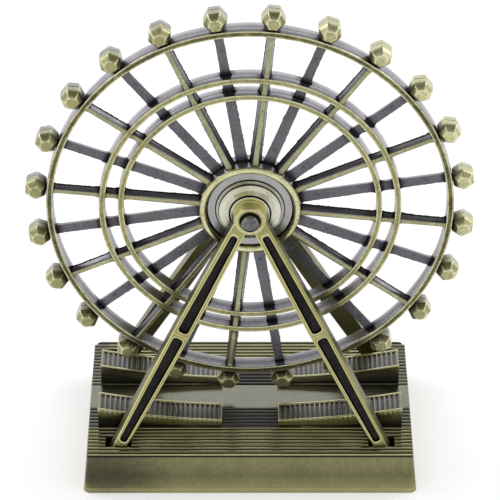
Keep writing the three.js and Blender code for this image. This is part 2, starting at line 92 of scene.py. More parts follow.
def angle(name, description, degrees):
    """An angle that a user may change, given here in degrees."""
    return bpy.props.FloatProperty(
        name=name, description=description, default=math.radians(degrees), subtype="ANGLE"
    )


def colour(name, description, default):
    """A linear colour that a user may change."""
    return bpy.props.FloatVectorProperty(
        name=name, description=description, default=default, size=3, min=0, max=1, subtype="COLOR"
    )


class BaseSizes(bpy.types.PropertyGroup):
    """Sizes of the drafted base with its ribbed deck."""

    width: length("Width", "Width of the deck", 82)
    depth: length("Depth", "Depth of the deck", 48.1)
    draft: length("Draft", "How far the foot of each side stands out past the deck", 1.19)
    deck: length("Deck", "Thickness of the deck", 2.4)
    front_corner: length("Front corner", "Radius of the two front corners", 0.5)
    rear_corner: length("Rear corner", "Radius of the two rear corners", 1.9)
    river: length("River", "Width of the smooth band below the wheel", 9.3)
    pitch: length("Rib pitch", "Distance from one rib to the next", 1.385)
    groove: length("Groove", "Depth of the grooves between the ribs", 0.45)
    edge: length("Edge", "How far the edges are worn round", 0.12)
    # The foot strip is a small step, painted brighter as a painted reflection of the floor.
    strip: length("Foot strip", "Height of the polished strip along the foot", 1.3)


class SocketSizes(bpy.types.PropertyGroup):
    """Sizes of the sockets that the legs stand in."""

    x: length("Side", "Distance of a socket's middle from the centre, sideways", 33.25)
    y: length("Reach", "Distance of a socket's middle from the centre, to the front or rear", 18.735)
    length: length("Length", "Length of the opening", 6.5)
    width: length("Width", "Width of the opening", 4.3)
    depth: length("Depth", "Depth of the opening below the deck", 5)
    wall: length("Wall", "Thickness below the opening", 1.6)
    play: length("Play", "Gap between the leg and the opening", 0.12)


class RampSizes(bpy.types.PropertyGroup):
    """Sizes of the four slatted boarding ramps."""

    high: length("High end", "Height of the end by the side of the base", 5.8)
    low: length("Low end", "Height of the end by the middle of the base", 2.1)
    rail: length("Rail", "Width of the rails along both walls", 0.7)
    end_wall: length("End wall", "Thickness of the walls at both ends", 0.72)
    slat: length("Slat", "Thickness of one slat", 0.45)
    slot_depth: length("Slot depth", "Depth of the gaps between the slats", 1.3)
    ridge_drop: length("Ridge drop", "How far the humps between the slats lie below them", 0.3)
    peg: length("Peg", "Radius of the pegs that plug into the deck", 1)
    slots: bpy.props.IntProperty(name="Slots", description="Number of gaps in each ramp", default=24, min=4)


class FrameSizes(bpy.types.PropertyGroup):
    """Sizes of the two leaning A-frames."""

    boss_radius: length("Boss radius", "Radius of the boss that holds the axle", 4.1)
    boss_back: length("Boss back", "Distance of the boss's back from the wheel's middle plane", 4.65)
    boss_front: length("Boss front", "Distance of the boss's front from the wheel's middle plane", 8.39)
    boss_round: length("Boss round", "Radius of the boss's front edge", 1.5)
    leg_depth: length("Leg depth", "Thickness of a leg from front to back", 3.45)
    leg_head: length("Leg head", "Width of a leg's front beside the axle", 3.7)
    leg_middle: length("Leg middle", "Width of a leg's front at the bridge between its pockets", 4.36)
    leg_foot: length("Leg foot", "Width of a leg's front at the deck", 3.08)
    draft_head: length("Head draft", "How far a leg's back stands out past its front, beside the axle", 0.1)
    draft_foot: length("Foot draft", "How far a leg's back stands out past its front, at the deck", 0.7)
    setback: length("Setback", "How far the legs' front lies behind the boss's front", 0.79)
    spread: length("Spread", "Distance of a leg's head from the centre", 1.5)
    foot_x: length("Foot side", "Distance of a leg's foot from the centre, sideways", 32.75)
    foot_y: length("Foot reach", "Distance of a leg's front from the centre at the deck", 20.5)
    narrow: length("Narrow pocket end", "Width of a pocket at its far end", 1.84)
    wide: length("Wide pocket end", "Width of a pocket at the bridge", 2.67)
    pocket_round: length("Pocket round", "Length of a pocket's rounded ends", 0.95)
    pocket_draft: length("Pocket draft", "How far a pocket's sides lean in towards its floor", 0.25)
    pocket_depth: length("Pocket depth", "Depth of the long pockets", 1.3)
    head_inset: length("Head inset", "Distance from the axle's height to the upper pocket", 4.2)
    foot_inset: length("Foot inset", "Distance from the deck to the lower pocket", 1.1)
    bridge: length("Bridge", "Solid length between the two pockets of a leg", 1.6)
    bridge_drop: length("Bridge drop", "How far the bridge lies below the leg's middle", 0.3)
    edge: length("Edge", "How far the edges are worn round", 0.22)


class WheelSizes(bpy.types.PropertyGroup):
    """Sizes of the two half castings of the wheel."""

    rim_outer: length("Rim outer radius", "Outer radius of the rim", 50.2)
    rim_inner: length("Rim inner radius", "Inner radius of the rim", 48.55)
    middle_outer: length("Middle ring outer radius", "Outer radius of the middle ring", 37.24)
    middle_inner: length("Middle ring inner radius", "Inner radius of the middle ring", 35.77)
    inner_outer: length("Inner ring outer radius", "Outer radius of the inner ring", 32.55)
    inner_inner: length("Inner ring inner radius", "Inner radius of the inner ring", 31.14)
    ring_depth: length("Ring depth", "Depth of one half of each ring", 2.23)
    hub_radius: length("Hub radius", "Outer radius of the hub cup", 12.52)
    hub_lip: length("Hub lip", "Inner radius of the hub cup", 10.7)
    hub_edge: length("Hub edge", "Where the bead of the hub cup starts, from the parting plane", 2.66)
    bead_crest: length("Bead crest", "Distance of the bead's crest from the parting plane", 3.5)
    hub_web: length("Hub web", "Thickness of the hub's floor in one half", 1.2)
    hub_bore: length("Hub bore", "Radius of the hub's bore", 4)
    crest: length("Spoke crest", "Height of a spoke's crest above the parting plane", 2)
    crest_hub: length("Crest at hub", "Width of a spoke's crest at the hub", 1.3)
    crest_rim: length("Crest at rim", "Width of a spoke's crest at the rim", 1.1)
    foot_hub: length("Foot at hub", "Width of a spoke's foot at the hub", 2.9)
    foot_rim: length("Foot at rim", "Width of a spoke's foot at the rim", 2.1)
    flash: length("Flash", "How far the ragged flash stands out at the parting plane", 0.45)
    first_spoke: angle("First spoke", "Turn of the first spoke from the top", 6)


class HubSizes(bpy.types.PropertyGroup):
    """Sizes of the turned parts on the axle."""

    bore: length("Bore", "Radius of the bores that the axle passes through", 2.25)
    sleeve: length("Sleeve", "Radius of the bush's sleeve", 3.94)
    flange_radius: length("Flange radius", "Radius of the bush's flange", 10.46)
    flange_back: length("Flange back", "Back of the flange", 1.26)
    flange: length("Flange", "Front of the flange", 2.4)
    step: length("Step", "Radius where the raised part starts", 8.4)
    raised_radius: length("Raised radius", "Radius of the raised part", 7.63)
    raised: length("Raised", "Front of the raised part's edge", 3.6)
    dome_radius: length("Dome radius", "Inner radius of the dome", 5.2)
    dome: length("Dome", "Front of the dome's inner edge", 4.3)
    seat: length("Seat", "Where the washer rests", 3.35)
    washer_radius: length("Washer radius", "Radius of the washers", 4.85)
    washer_back: length("Washer back", "Back of the front washer", 3.4)
    washer_front: length("Washer front", "Front of the front washer", 4.6)
    axle_radius: length("Axle radius", "Radius of the axle", 2.2)
    axle_end: length("Axle end", "Where the axle's domed ends stand", 10.35)
    axle_dome: length("Axle dome", "How far the axle's ends are domed", 1.15)


class PodSizes(bpy.types.PropertyGroup):
    """Sizes of the hexagonal pods."""

    ring: length("Pod circle", "Radius of the circle that the pods' middles lie on", 52.87)
    across: length("Across corners", "Width of the band across its corners", 6.2)
    over_flats: length("Over flats", "Height of the band over its flats", 5.2)
    end_across: length("End across corners", "Width of the two ends across their corners", 3.45)
    half: length("Half length", "Half of a pod's length along the axle", 3.6)
    band: length("Half band", "Half of the band's length along the axle", 1.75)
    edge: length("Edge", "How far the edges are worn round", 0.32)
    tab_width: length("Tab width", "Width of the tab in the rim", 1.5)
    tab_depth: length("Half tab depth", "Half of the tab's depth along the axle", 0.55)
    tab_foot: length("Tab foot", "Radius where the tab ends inside the rim", 49.25)
    # Pods round this turn are painted brighter and less grey, as a painted highlight.
    highlight_side: angle("Bright side", "Where the pods are rubbed brightest, from the wheel's top", 58)


class Finishes(bpy.types.PropertyGroup):
    """Colours of the metals."""

    patina: colour("Patina", "Black left in the recesses", (0.016, 0.016, 0.017))
    shade: colour("Shaded bronze", "Dark olive where the patina is thin", (0.082, 0.075, 0.046))
    bronze: colour("Bronze", "Olive bronze of the flat faces", (0.31, 0.3, 0.143))
    polish: colour("Polished bronze", "Rubbed crests and corners", (0.68, 0.665, 0.405))
    smoke_dark: colour("Dark smoke", "Grey plating in the recesses", (0.035, 0.035, 0.04))
    smoke: colour("Smoke", "Grey plating on open faces", (0.2, 0.2, 0.22))
    smoke_light: colour("Light smoke", "Grey plating where it was polished", (0.55, 0.55, 0.58))
    warm: colour("Warm bronze", "Yellower bronze round the axle", (0.42, 0.38, 0.12))
    # Gold also stands for the painted reflection on the boss's side.
    gold: colour("Gold", "Rubbed crests round the axle", (0.96, 0.9, 0.36))
    silver: colour("Silver", "Grainy plating of the hub", (0.36, 0.36, 0.355))
    cream: colour("Warm silver", "Warmer plating of the hub's dome", (0.63, 0.62, 0.51))
    steel: colour("Steel", "Bare steel of the axle and screws", (0.3, 0.3, 0.31))


class StageSizes(bpy.types.PropertyGroup):
    """The camera and its lights."""

    elevation: angle("Elevation", "Angle of the camera above the floor", 34.101)
    azimuth: angle("Azimuth", "Turn of the camera from straight ahead", -0.112)
    roll: angle("Roll", "Tilt of the camera round its own view", 0.034)
    distance: length("Distance", "Distance from the camera to the point that it looks at", 717.426)
    aim: length("Aim", "Height of the point that the camera looks at", 57.286)
    lens: amount("Lens", "Focal length in millimetres", 207.1, 1000)
    surround: amount("Surround", "Brightness of the even light from all around", 0.8, 2)
    ceiling: amount("Ceiling", "Brightness of the dark ceiling as the metal reflects it", 0.3, 2)
    ceiling_from: amount("Ceiling start", "Height of a direction where the ceiling starts", 0.55)
    ceiling_to: amount("Ceiling end", "Height of a direction where the ceiling is darkest", 0.92)


class WheelModel(bpy.types.PropertyGroup):
    """Everything that a user may change."""

    base: bpy.props.PointerProperty(type=BaseSizes)
    socket: bpy.props.PointerProperty(type=SocketSizes)
    ramp: bpy.props.PointerProperty(type=RampSizes)
    frame: bpy.props.PointerProperty(type=FrameSizes)
    wheel: bpy.props.PointerProperty(type=WheelSizes)
    hub: bpy.props.PointerProperty(type=HubSizes)
    pod: bpy.props.PointerProperty(type=PodSizes)
    finish: bpy.props.PointerProperty(type=Finishes)
    stage: bpy.props.PointerProperty(type=StageSizes)


def sizes():
    """The values that the whole model is built from."""
    return bpy.context.scene.wheel_model


# Surfaces.


class Shell:
    """A closed surface: its points, its faces as arrays of corner numbers, and each point's rub and smoke."""

    def __init__(self, points, faces, rub, smoke=0.0):
        self.points = np.asarray(points, float).reshape(-1, 3)
        count = len(self.points)
        self.rub = np.broadcast_to(rub, count).astype(np.float32)
        self.smoke = np.broadcast_to(smoke, count).astype(np.float32)
        self.faces = faces if self.volume(faces) > 0 else [corners[:, ::-1] for corners in faces]

    def volume(self, faces):
        """Six times the volume: the sum of A . (B x C) over the triangles ABC that the faces split into."""
        total = 0.0
        for corners in faces:
            first = self.points[corners[:, 0]]
            for i in range(1, corners.shape[1] - 1):
                second = self.points[corners[:, i]]
                third = self.points[corners[:, i + 1]]
                total += np.einsum("ij,ij->", first, np.cross(second, third))
        return total

    def times(self, factors):
        """The same surface with its points multiplied along each axis."""
        return Shell(self.points * factors, self.faces, self.rub, self.smoke)


def strips(index, around_rows=False, around_columns=True):
    """Four-cornered faces between neighbouring rows and columns of a grid of point numbers."""
    below = index if around_rows else index[:-1]
    above = np.roll(index, -1, 0) if around_rows else index[1:]
    faces = np.stack([below, np.roll(below, -1, 1), np.roll(above, -1, 1), above], -1)
    if not around_columns:
        faces = faces[:, :-1]
    return faces.reshape(-1, 4)


def lofted(rings, rub, smoke=0.0, closed=False):
    """Rings of equal numbers of points, joined in order. The path is closed, or each end gets a face."""
    rings = np.asarray(rings, float)
    index = np.arange(rings.shape[0] * rings.shape[1]).reshape(rings.shape[:2])
    faces = [strips(index, around_rows=closed)]
    if not closed:
        faces += [index[:1, ::-1], index[-1:]]
    spread = [np.broadcast_to(value, index.shape).ravel() for value in (rub, smoke)]
    return Shell(rings, faces, *spread)


def softened(outline, radius, steps=3):
    """Each corner of a closed outline becomes the curve (1-t)^2 A + 2t(1-t) corner + t^2 B, where A and B lie
    on its two edges, the radius away from it but never past the middle of the edge."""
    outline = np.asarray(outline, float)
    reach = np.broadcast_to(radius, outline.shape[:-1])[..., None]
    largest_share = 0.48

    def along(edge):
        size = np.linalg.norm(edge, axis=-1, keepdims=True)
        return outline + edge * np.minimum(reach / np.maximum(size, 1e-9), largest_share)

    start = along(np.roll(outline, 1, -2) - outline)[..., None, :]
    end = along(np.roll(outline, -1, -2) - outline)[..., None, :]
    t = np.linspace(0, 1, steps + 1)[:, None]
    curve = (1 - t) ** 2 * start + 2 * t * (1 - t) * outline[..., None, :] + t**2 * end
    return curve.reshape(*outline.shape[:-2], -1, outline.shape[-1])


def carried_round(edge_values, corner_extra=0.0, steps=3):
    """A value for each point of a softened outline: it goes evenly from one edge's value to the next edge's,
    with something added in the middle of the corner. Edge i runs from corner i to corner i + 1."""
    edge_values = np.asarray(edge_values, float)
    extra = np.broadcast_to(corner_extra, edge_values.shape)
    t = np.linspace(0, 1, steps + 1)
    values = np.roll(edge_values, 1)[:, None] * (1 - t) + edge_values[:, None] * t
    return (values + extra[:, None] * 4 * t * (1 - t)).ravel()


def round_angles(count):
    """Angles spread evenly round a circle."""
    return np.linspace(0, 2 * math.pi, count, endpoint=False)


def turned(profile, segments, rub, smoke=0.0, solid=False):
    """A profile of (radius, place along Y) carried round the axle: x = radius sin a, and z = radius cos a
    plus the axle's height. A solid one has its ends near the axis, and each gets a small flat face."""
    turn = round_angles(segments)[:, None]
    radius, y = np.asarray(profile, float).T
    height = np.cos(turn) * radius + AXLE_HEIGHT
    points = np.stack([np.sin(turn) * radius, np.broadcast_to(y, (segments, len(y))), height], -1)
    if not solid:
        return lofted(points, rub, smoke, closed=True)
    spread = [np.broadcast_to(value, len(y))[:, None] for value in (rub, smoke)]
    return lofted(points.transpose(1, 0, 2), *spread)


def at_wheel(turn, radius, across, y):
    """A point of the wheel: so far out from the axle, across to one side, and along the axle."""
    x = radius * np.sin(turn) + across * np.cos(turn)
    z = radius * np.cos(turn) - across * np.sin(turn) + AXLE_HEIGHT
    return np.stack(np.broadcast_arrays(x, y, z), -1)


def smooth_noise(rng, count, reach):
    """Random values between 0 and 1 for a row of places, averaged over their neighbours."""
    weights = np.hanning(reach + 2)[1:-1]
    rough = np.convolve(rng.random(count + reach), weights / weights.sum(), "same")[:count]
    return (rough - rough.min()) / np.ptp(rough)


def make_piece(name, body, replaced, finish, shells):
    """Puts closed surfaces into one mesh object that stands for a node and rides on its body."""
    points = np.concatenate([shell.points for shell in shells])
    offsets = np.cumsum([0] + [len(shell.points) for shell in shells])
    faces = [corners + start for shell, start in zip(shells, offsets) for corners in shell.faces]
    lengths = np.concatenate([np.full(len(corners), corners.shape[1]) for corners in faces])
    corners = np.concatenate([corners.ravel() for corners in faces])
    mesh = bpy.data.meshes.new(name)
    mesh.vertices.add(len(points))
    mesh.vertices.foreach_set("co", points.astype(np.float32).ravel())
    mesh.loops.add(len(corners))
    mesh.loops.foreach_set("vertex_index", corners.astype(np.int32))
    mesh.polygons.add(len(lengths))
    mesh.polygons.foreach_set("loop_start", (np.cumsum(lengths) - lengths).astype(np.int32))
    mesh.update(calc_edges=True)
    for title in ("rub", "smoke"):
        values = np.concatenate([getattr(shell, title) for shell in shells])
        mesh.attributes.new(title, "FLOAT", "POINT").data.foreach_set("value", values)
    mesh.shade_smooth()
    mesh.set_sharp_from_angle(angle=SHARP_ANGLE)
    mesh.materials.append(bpy.data.materials[finish])
    piece = bpy.data.objects.new(name, mesh)
    bpy.context.scene.collection.objects.link(piece)
    piece.modifiers.new("even normals", "WEIGHTED_NORMAL").keep_sharp = True
    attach(piece, body)
    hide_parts(replaced)


# Materials.


def add(tree, kind, inputs=None, **settings):
    """Adds a node, sets it up, and feeds each input with a value or with another node's output."""
    node = tree.nodes.new(kind)
    for key, value in settings.items():
        setattr(node, key, value)
    for key, value in (inputs or {}).items():
        if isinstance(value, bpy.types.NodeSocket):
            tree.links.new(value, node.inputs[key])
        else:
            node.inputs[key].default_value = value
    return node


def maths(tree, operation, *values, clamp=False):
    """A Math node's output, from two values or three."""
    inputs = dict(enumerate(values))
    return add(tree, "ShaderNodeMath", inputs, operation=operation, use_clamp=clamp).outputs[0]


def mixed(tree, factor, first, second):
    """A colour between two others."""
    inputs = {0: factor, 6: first, 7: second}
    return add(tree, "ShaderNodeMix", inputs, data_type="RGBA", clamp_factor=True).outputs[2]


def ramped(tree, value, low, high):
    """A value mapped smoothly to 0 at the low mark and 1 at the high one."""
    inputs = {"Value": value, "From Min": low, "From Max": high}
    return add(tree, "ShaderNodeMapRange", inputs, interpolation_type="SMOOTHSTEP").outputs[0]


def spanned(tree, value, low, high):
    """A value from 0 to 1 mapped evenly to one between two others."""
    return add(tree, "ShaderNodeMapRange", {"Value": value, "To Min": low, "To Max": high}).outputs[0]


def noise(tree, place, scale, detail, roughness=0.55):
    """A noise texture's value at a place."""
    inputs = {"Vector": place, "Scale": scale, "Detail": detail, "Roughness": roughness}
    return add(tree, "ShaderNodeTexNoise", inputs).outputs["Fac"]


def grain(tree, given, times, *looks):
    """A noise texture's value at a group's place, at so many times the group's scale."""
    return noise(tree, given["Place"], maths(tree, "MULTIPLY", given["Scale"], times), *looks)


def group(name, inputs, outputs):
    """A new node group with named sockets. Returns its tree and the sockets to read from and to link to."""
    tree = bpy.data.node_groups.new(name, "ShaderNodeTree")
    for sockets, way in ((inputs, "INPUT"), (outputs, "OUTPUT")):
        for title, kind in sockets.items():
            tree.interface.new_socket(name=title, in_out=way, socket_type="NodeSocket" + kind)
    return tree, tree.nodes.new("NodeGroupInput").outputs, tree.nodes.new("NodeGroupOutput").inputs


def placed(tree, name, inputs):
    """One of the shared groups, placed in a material with its own values."""
    return add(tree, "ShaderNodeGroup", inputs, node_tree=bpy.data.node_groups[name]).outputs


def cast_grain():
    """Group: fine pits and soft waves of a casting's skin, as a bump height and a patchy value."""
    inputs = {"Place": "Vector", "Scale": "Float", "Pits": "Float"}
    tree, given, result = group("cast_grain", inputs, {"Height": "Float", "Patches": "Float"})
    fine = noise(tree, given["Place"], given["Scale"], 4.0, 0.6)
    waves = grain(tree, given, 0.22, 2.0, 0.5)
    pits = ramped(tree, grain(tree, given, 1.7, 1.0), 0.62, 0.74)
    carved = maths(tree, "MULTIPLY", pits, given["Pits"])
    rolling = maths(tree, "MULTIPLY_ADD", waves, 1.4, fine)
    tree.links.new(maths(tree, "SUBTRACT", rolling, carved), result["Height"])
    tree.links.new(grain(tree, given, 0.12, 3.0), result["Patches"])


def rubbed_patina():
    """Group: four tones from black patina to polished metal, chosen by rub with uneven patches and specks."""
    inputs = {"Place": "Vector", "Rub": "Float", "Unevenness": "Float", "Scale": "Float"}
    inputs |= dict.fromkeys(TONES, "Color")
    tree, given, result = group("rubbed_patina", inputs, {"Color": "Color", "Level": "Float"})
    patches = grain(tree, given, 0.3, 5.0, 0.62)
    specks = grain(tree, given, 2.6, 2.0, 0.7)
    uneven = maths(tree, "ADD", maths(tree, "SUBTRACT", patches, 0.5), maths(tree, "SUBTRACT", specks, 0.5))
    shift = maths(tree, "MULTIPLY", uneven, given["Unevenness"])
    level = maths(tree, "ADD", given["Rub"], shift, clamp=True)
    tone = given[TONES[0]]
    for title, low, high in zip(TONES[1:], (0.02, 0.26, 0.62), (0.34, 0.66, 1.0)):
        tone = mixed(tree, ramped(tree, level, low, high), tone, given[title])
    tree.links.new(tone, result["Color"])
    tree.links.new(level, result["Level"])


def nicks():
    """Group: the scratches and chips that handling leaves, as two masks."""
    inputs = {"Place": "Vector", "Scale": "Float", "Amount": "Float"}
    tree, given, result = group("nicks", inputs, {"Scratches": "Float", "Chips": "Float"})
    place, scale, much = given["Place"], given["Scale"], given["Amount"]
    stretched = add(tree, "ShaderNodeMapping", {"Vector": place, "Scale": (1.0, 2.2, 5.0)}).outputs[0]
    lines = noise(tree, stretched, scale, 2.0, 0.5)
    edge = maths(tree, "SUBTRACT", 0.76, maths(tree, "MULTIPLY", much, 0.1))
    scratches = ramped(tree, lines, edge, maths(tree, "ADD", edge, 0.05))
    cells = add(tree, "ShaderNodeTexVoronoi", {"Vector": place, "Scale": scale}).outputs["Distance"]
    size = maths(tree, "MULTIPLY", much, 0.2)
    chips = maths(tree, "SUBTRACT", 1.0, ramped(tree, cells, maths(tree, "MULTIPLY", size, 0.5), size))
    tree.links.new(scratches, result["Scratches"])
    tree.links.new(chips, result["Chips"])


def new_material(name):
    """A new material, with its node tree and its shader."""
    material = bpy.data.materials.new(name)
    material.use_nodes = True
    return material, material.node_tree, material.node_tree.nodes["Principled BSDF"]


def metal(name, tones, second_tones, roughness, unevenness, scale, worn, pits, bump):
    """A cast metal whose tone follows rub, whose second tones follow smoke, and whose skin is grained and
    nicked. Roughness goes from its first value in the recesses to its second on the crests."""
    grain_times, nick_times, second_calmness = 1.5, 0.7, 0.4
    chip_darkness, chip_depth, scratch_shine, rough_patches = 0.55, 0.8, 0.5, 0.25
    _, tree, shader = new_material(name)
    shader.inputs["Metallic"].default_value = 1.0
    place = tree.nodes.new("ShaderNodeTexCoord").outputs["Object"]
    rub = add(tree, "ShaderNodeAttribute", attribute_name="rub").outputs["Fac"]
    smoke = add(tree, "ShaderNodeAttribute", attribute_name="smoke").outputs["Fac"]
    skin = placed(tree, "cast_grain", {"Place": place, "Scale": scale * grain_times, "Pits": pits})
    marks = placed(tree, "nicks", {"Place": place, "Scale": scale * nick_times, "Amount": worn})
    shared = {"Place": place, "Rub": rub, "Unevenness": unevenness, "Scale": scale}
    first = placed(tree, "rubbed_patina", shared | dict(zip(TONES, tones)))
    tone = first["Color"]
    if second_tones:
        calm = shared | {"Unevenness": unevenness * second_calmness}
        second = placed(tree, "rubbed_patina", calm | dict(zip(TONES, second_tones)))
        tone = mixed(tree, smoke, tone, second["Color"])
    chipped = maths(tree, "MULTIPLY", marks["Chips"], chip_darkness)
    tone = mixed(tree, chipped, tone, tones[0])
    scratched = maths(tree, "MULTIPLY", marks["Scratches"], rub)
    shine = maths(tree, "MULTIPLY", scratched, scratch_shine)
    tone = mixed(tree, shine, tone, tones[-1])
    tree.links.new(tone, shader.inputs["Base Color"])
    level = spanned(tree, first["Level"], *roughness)
    patchy = maths(tree, "SUBTRACT", skin["Patches"], 0.5)
    tree.links.new(maths(tree, "MULTIPLY_ADD", patchy, rough_patches, level), shader.inputs["Roughness"])
    height = maths(tree, "SUBTRACT", skin["Height"], maths(tree, "MULTIPLY", marks["Chips"], chip_depth))
    raised = {"Height": height, "Strength": bump, "Distance": 0.03 * MM}
    tree.links.new(add(tree, "ShaderNodeBump", raised).outputs[0], shader.inputs["Normal"])


def tones_of(*names):
    """Colours of the model by their names, with full alpha."""
    return [(*getattr(sizes().finish, name), 1.0) for name in names]


class MODEL_OT_finishes(bpy.types.Operator):
    """Make the shared effects and every metal of the model"""

    bl_idname = "wheel_model.finishes"
    bl_label = "Finishes"

    def execute(self, context):
        cast_grain()
        rubbed_patina()
        nicks()
        bronze = tones_of("patina", "shade", "bronze", "polish")
        smoke = tones_of("patina", "smoke_dark", "smoke", "smoke_light")
        silver = tones_of("patina", "smoke", "silver", "cream")
        warm = tones_of("patina", "shade", "warm", "gold")
        steel = tones_of("patina", "smoke_dark", "steel", "silver")
        metal("base_patina", bronze, smoke, roughness=(0.5, 0.08), unevenness=0.13, scale=420, worn=0.3,
              pits=0.3, bump=0.2)
        metal("ramp_patina", bronze, smoke, roughness=(0.45, 0.2), unevenness=0.3, scale=700, worn=0.4,
              pits=0.4, bump=0.25)
        metal("frame_patina", bronze, warm, roughness=(0.42, 0.3), unevenness=0.25, scale=500, worn=0.3,
              pits=0.3, bump=0.2)
        metal("wheel_patina", bronze, smoke, roughness=(0.45, 0.2), unevenness=0.5, scale=600, worn=0.5,
              pits=0.5, bump=0.3)
        metal("pod_patina", bronze, smoke, roughness=(0.4, 0.24), unevenness=0.4, scale=800, worn=0.5,
              pits=0.4, bump=0.25)
        metal("hub_plating", silver, bronze, roughness=(0.4, 0.2), unevenness=0.42, scale=1100, worn=0.7,
              pits=1.0, bump=0.3)
        metal("axle_skin", steel, None, roughness=(0.3, 0.12), unevenness=0.3, scale=900, worn=0.4,
              pits=0.3, bump=0.25)
        return {"FINISHED"}


# Base casting.


def mirrored(values):
    """Values from zero outwards, with their negatives before them."""
    values = np.asarray(sorted(set(values)))
    return np.concatenate([-values[:0:-1], values])


def rib_profile(base):
    """Half of the deck's profile from the middle of the river to the edge, as places and heights. From the
    middle of each groove it goes up the groove's side and over the top of the next rib."""
    half, drawn_depth = base.depth / 2, 0.45
    count = int((half - base.river / 2) / base.pitch)
    middles = base.river / 2 + (np.arange(count) + 0.5) * base.pitch
    groove = np.array([-0.34, -0.28, -0.22, -0.16, 0.16, 0.22, 0.28, 0.34]) * MM
    groove_drops = np.array([-0.12, -0.26, -0.4, -0.45, -0.45, -0.4, -0.26, -0.12]) / drawn_depth
    rib = np.array([0.42, 0.52, 0.6925, 0.865, 0.965]) * MM
    rib_drops = np.array([-0.035, 0, 0, 0, -0.035]) / drawn_depth
    y = (middles[:, None] + np.concatenate([groove, rib])).ravel()
    z = np.tile(np.concatenate([groove_drops, rib_drops]) * base.groove, count)
    river_y = np.array([0, 1.5, 3, 4.2, 4.75, 4.92]) * MM
    river_z = np.array([0, 0, 0, 0, 0, -0.035]) * MM
    inside = y < half - 0.3 * MM
    return np.concatenate([river_y, y[inside], [half]]), np.concatenate([river_z, z[inside], [0]])


def beside_edges(edges, step):
    """Places on both edges of a socket's opening, at the top of its wall, and where its worn edge ends."""
    return [edge + side * shift for edge, side in zip(edges, (-1, 1)) for shift in (0, step, 0.14 * MM)]


def deck_finish(base, x, y, z):
    """Rub and smoke of the deck. The ribs are rubbed and the grooves black, with zones that differ: bright
    at the back, dark and grey between the ramps, duller beside them, and smooth and grey in the river."""
    span_x, span_y = np.abs(x), np.abs(y)
    crest = np.clip(1 + (z - DECK) / base.groove, 0, 1)
    ribs = crest**1.5
    ramps_from, ramps_to, ramps_reach = 8 * MM, 38.2 * MM, 13 * MM
    river = span_y < base.river / 2 + 0.3 * MM
    at_back = y > 5 * MM
    between_ramps = (span_x < ramps_from) & (span_y < ramps_reach) & ~river
    beside_ramps = (span_x > ramps_to) & (y >= -ramps_reach)
    front_rub, back_rub, between_rub = 0.08 + 0.69 * ribs, 0.2 + 0.66 * ribs, 0.05 + 0.42 * crest
    beside_share, river_rub = 0.88, 0.7
    river_smoke, between_smoke, beside_smoke = 0.62, 0.8, 0.55
    rub = np.where(at_back, back_rub, front_rub)
    rub = np.where(between_ramps, between_rub, rub)
    rub = np.where(beside_ramps, beside_share * rub, rub)
    rub = np.where(river, river_rub, rub)
    zones = [river, between_ramps, beside_ramps]
    return rub, np.select(zones, [river_smoke, between_smoke, beside_smoke], 0.0)


def round_corners(base, x, y, fixed):
    """Draws in the columns beyond a fixed place, so that their ends follow the deck's round corners."""
    half_x, half_y = base.width / 2, base.depth / 2
    radius = np.where(y > 0, base.rear_corner, base.front_corner)
    past = np.maximum(np.abs(y) - (half_y - radius), 0)
    bend = np.maximum(np.sqrt(np.maximum(radius**2 - past**2, 0)), 0.05 * MM)
    room = half_x - radius + bend
    share = np.clip((np.abs(x) - fixed) / (half_x - fixed), 0, 1)
    return np.where(np.abs(x) > fixed, np.sign(x) * (fixed + share * (room - fixed)), x)


def base_sides(base, edge_top, edge_roof, outward):
    """Rings down the outside of the base and up its inside, with their rub. Each outer level has a height, a
    distance out from the drafted side and a rub. A dark groove below the deck's edge is only in front."""
    edge, worn_in, groove = base.edge, -0.05 * MM, -0.16 * MM
    levels = [
        (DECK - edge, 0.0, 0.75), (DECK - 0.42 * MM, 0.0, 0.6), (DECK - 0.52 * MM, groove, 0.45),
        (DECK - 0.72 * MM, groove, 0.45), (DECK - 0.84 * MM, 0.0, 0.38), (DECK - 1.4 * MM, worn_in, 0.48),
        (DECK * 0.7, worn_in, 0.46), (DECK * 0.45, worn_in, 0.41), (DECK * 0.25, worn_in, 0.48),
        # The higher rub on the foot strip is a painted reflection of the floor.
        (base.strip + 0.12 * MM, worn_in, 0.56), (base.strip, 0.0, 0.7), (edge, 0.0, 0.64), (0.0, -edge, 0.5),
    ]
    facing_front = np.clip(-outward[:, 1] * 1.5 - 0.5, 0, 1)
    # Painted shade: the front face darkens towards its left end.
    painted_left_shade = 0.16 * np.clip((-edge_top[:, 0] - 18 * MM) / (16 * MM), 0, 1) * facing_front
    same = np.ones(len(edge_top))
    rings, rubs = [], []
    for number, (height, out, rub) in enumerate(levels):
        if out == groove:
            out, rub = out * facing_front, rub * (1 - facing_front)
        below_edge = edge_top[:, 2] - (number + 1) * 0.04 * MM
        level = np.minimum(height, below_edge) if height > DECK / 2 else height * same
        spread = base.draft * (1 - level / DECK) + out
        rings.append(np.column_stack([edge_top[:, :2] + outward * spread[:, None], level]))
        rubs.append(np.clip(rub - painted_left_shade, 0, 1))
    for height, out in ((0.0, edge), (edge, 0.0), (DECK * 0.4, 0.0)):
        spread = base.draft * (1 - height / DECK) + out
        rings.append(np.column_stack([edge_roof[:, :2] + outward * spread, height * same]))
        rubs.append(0.2 * same)
    return rings, rubs


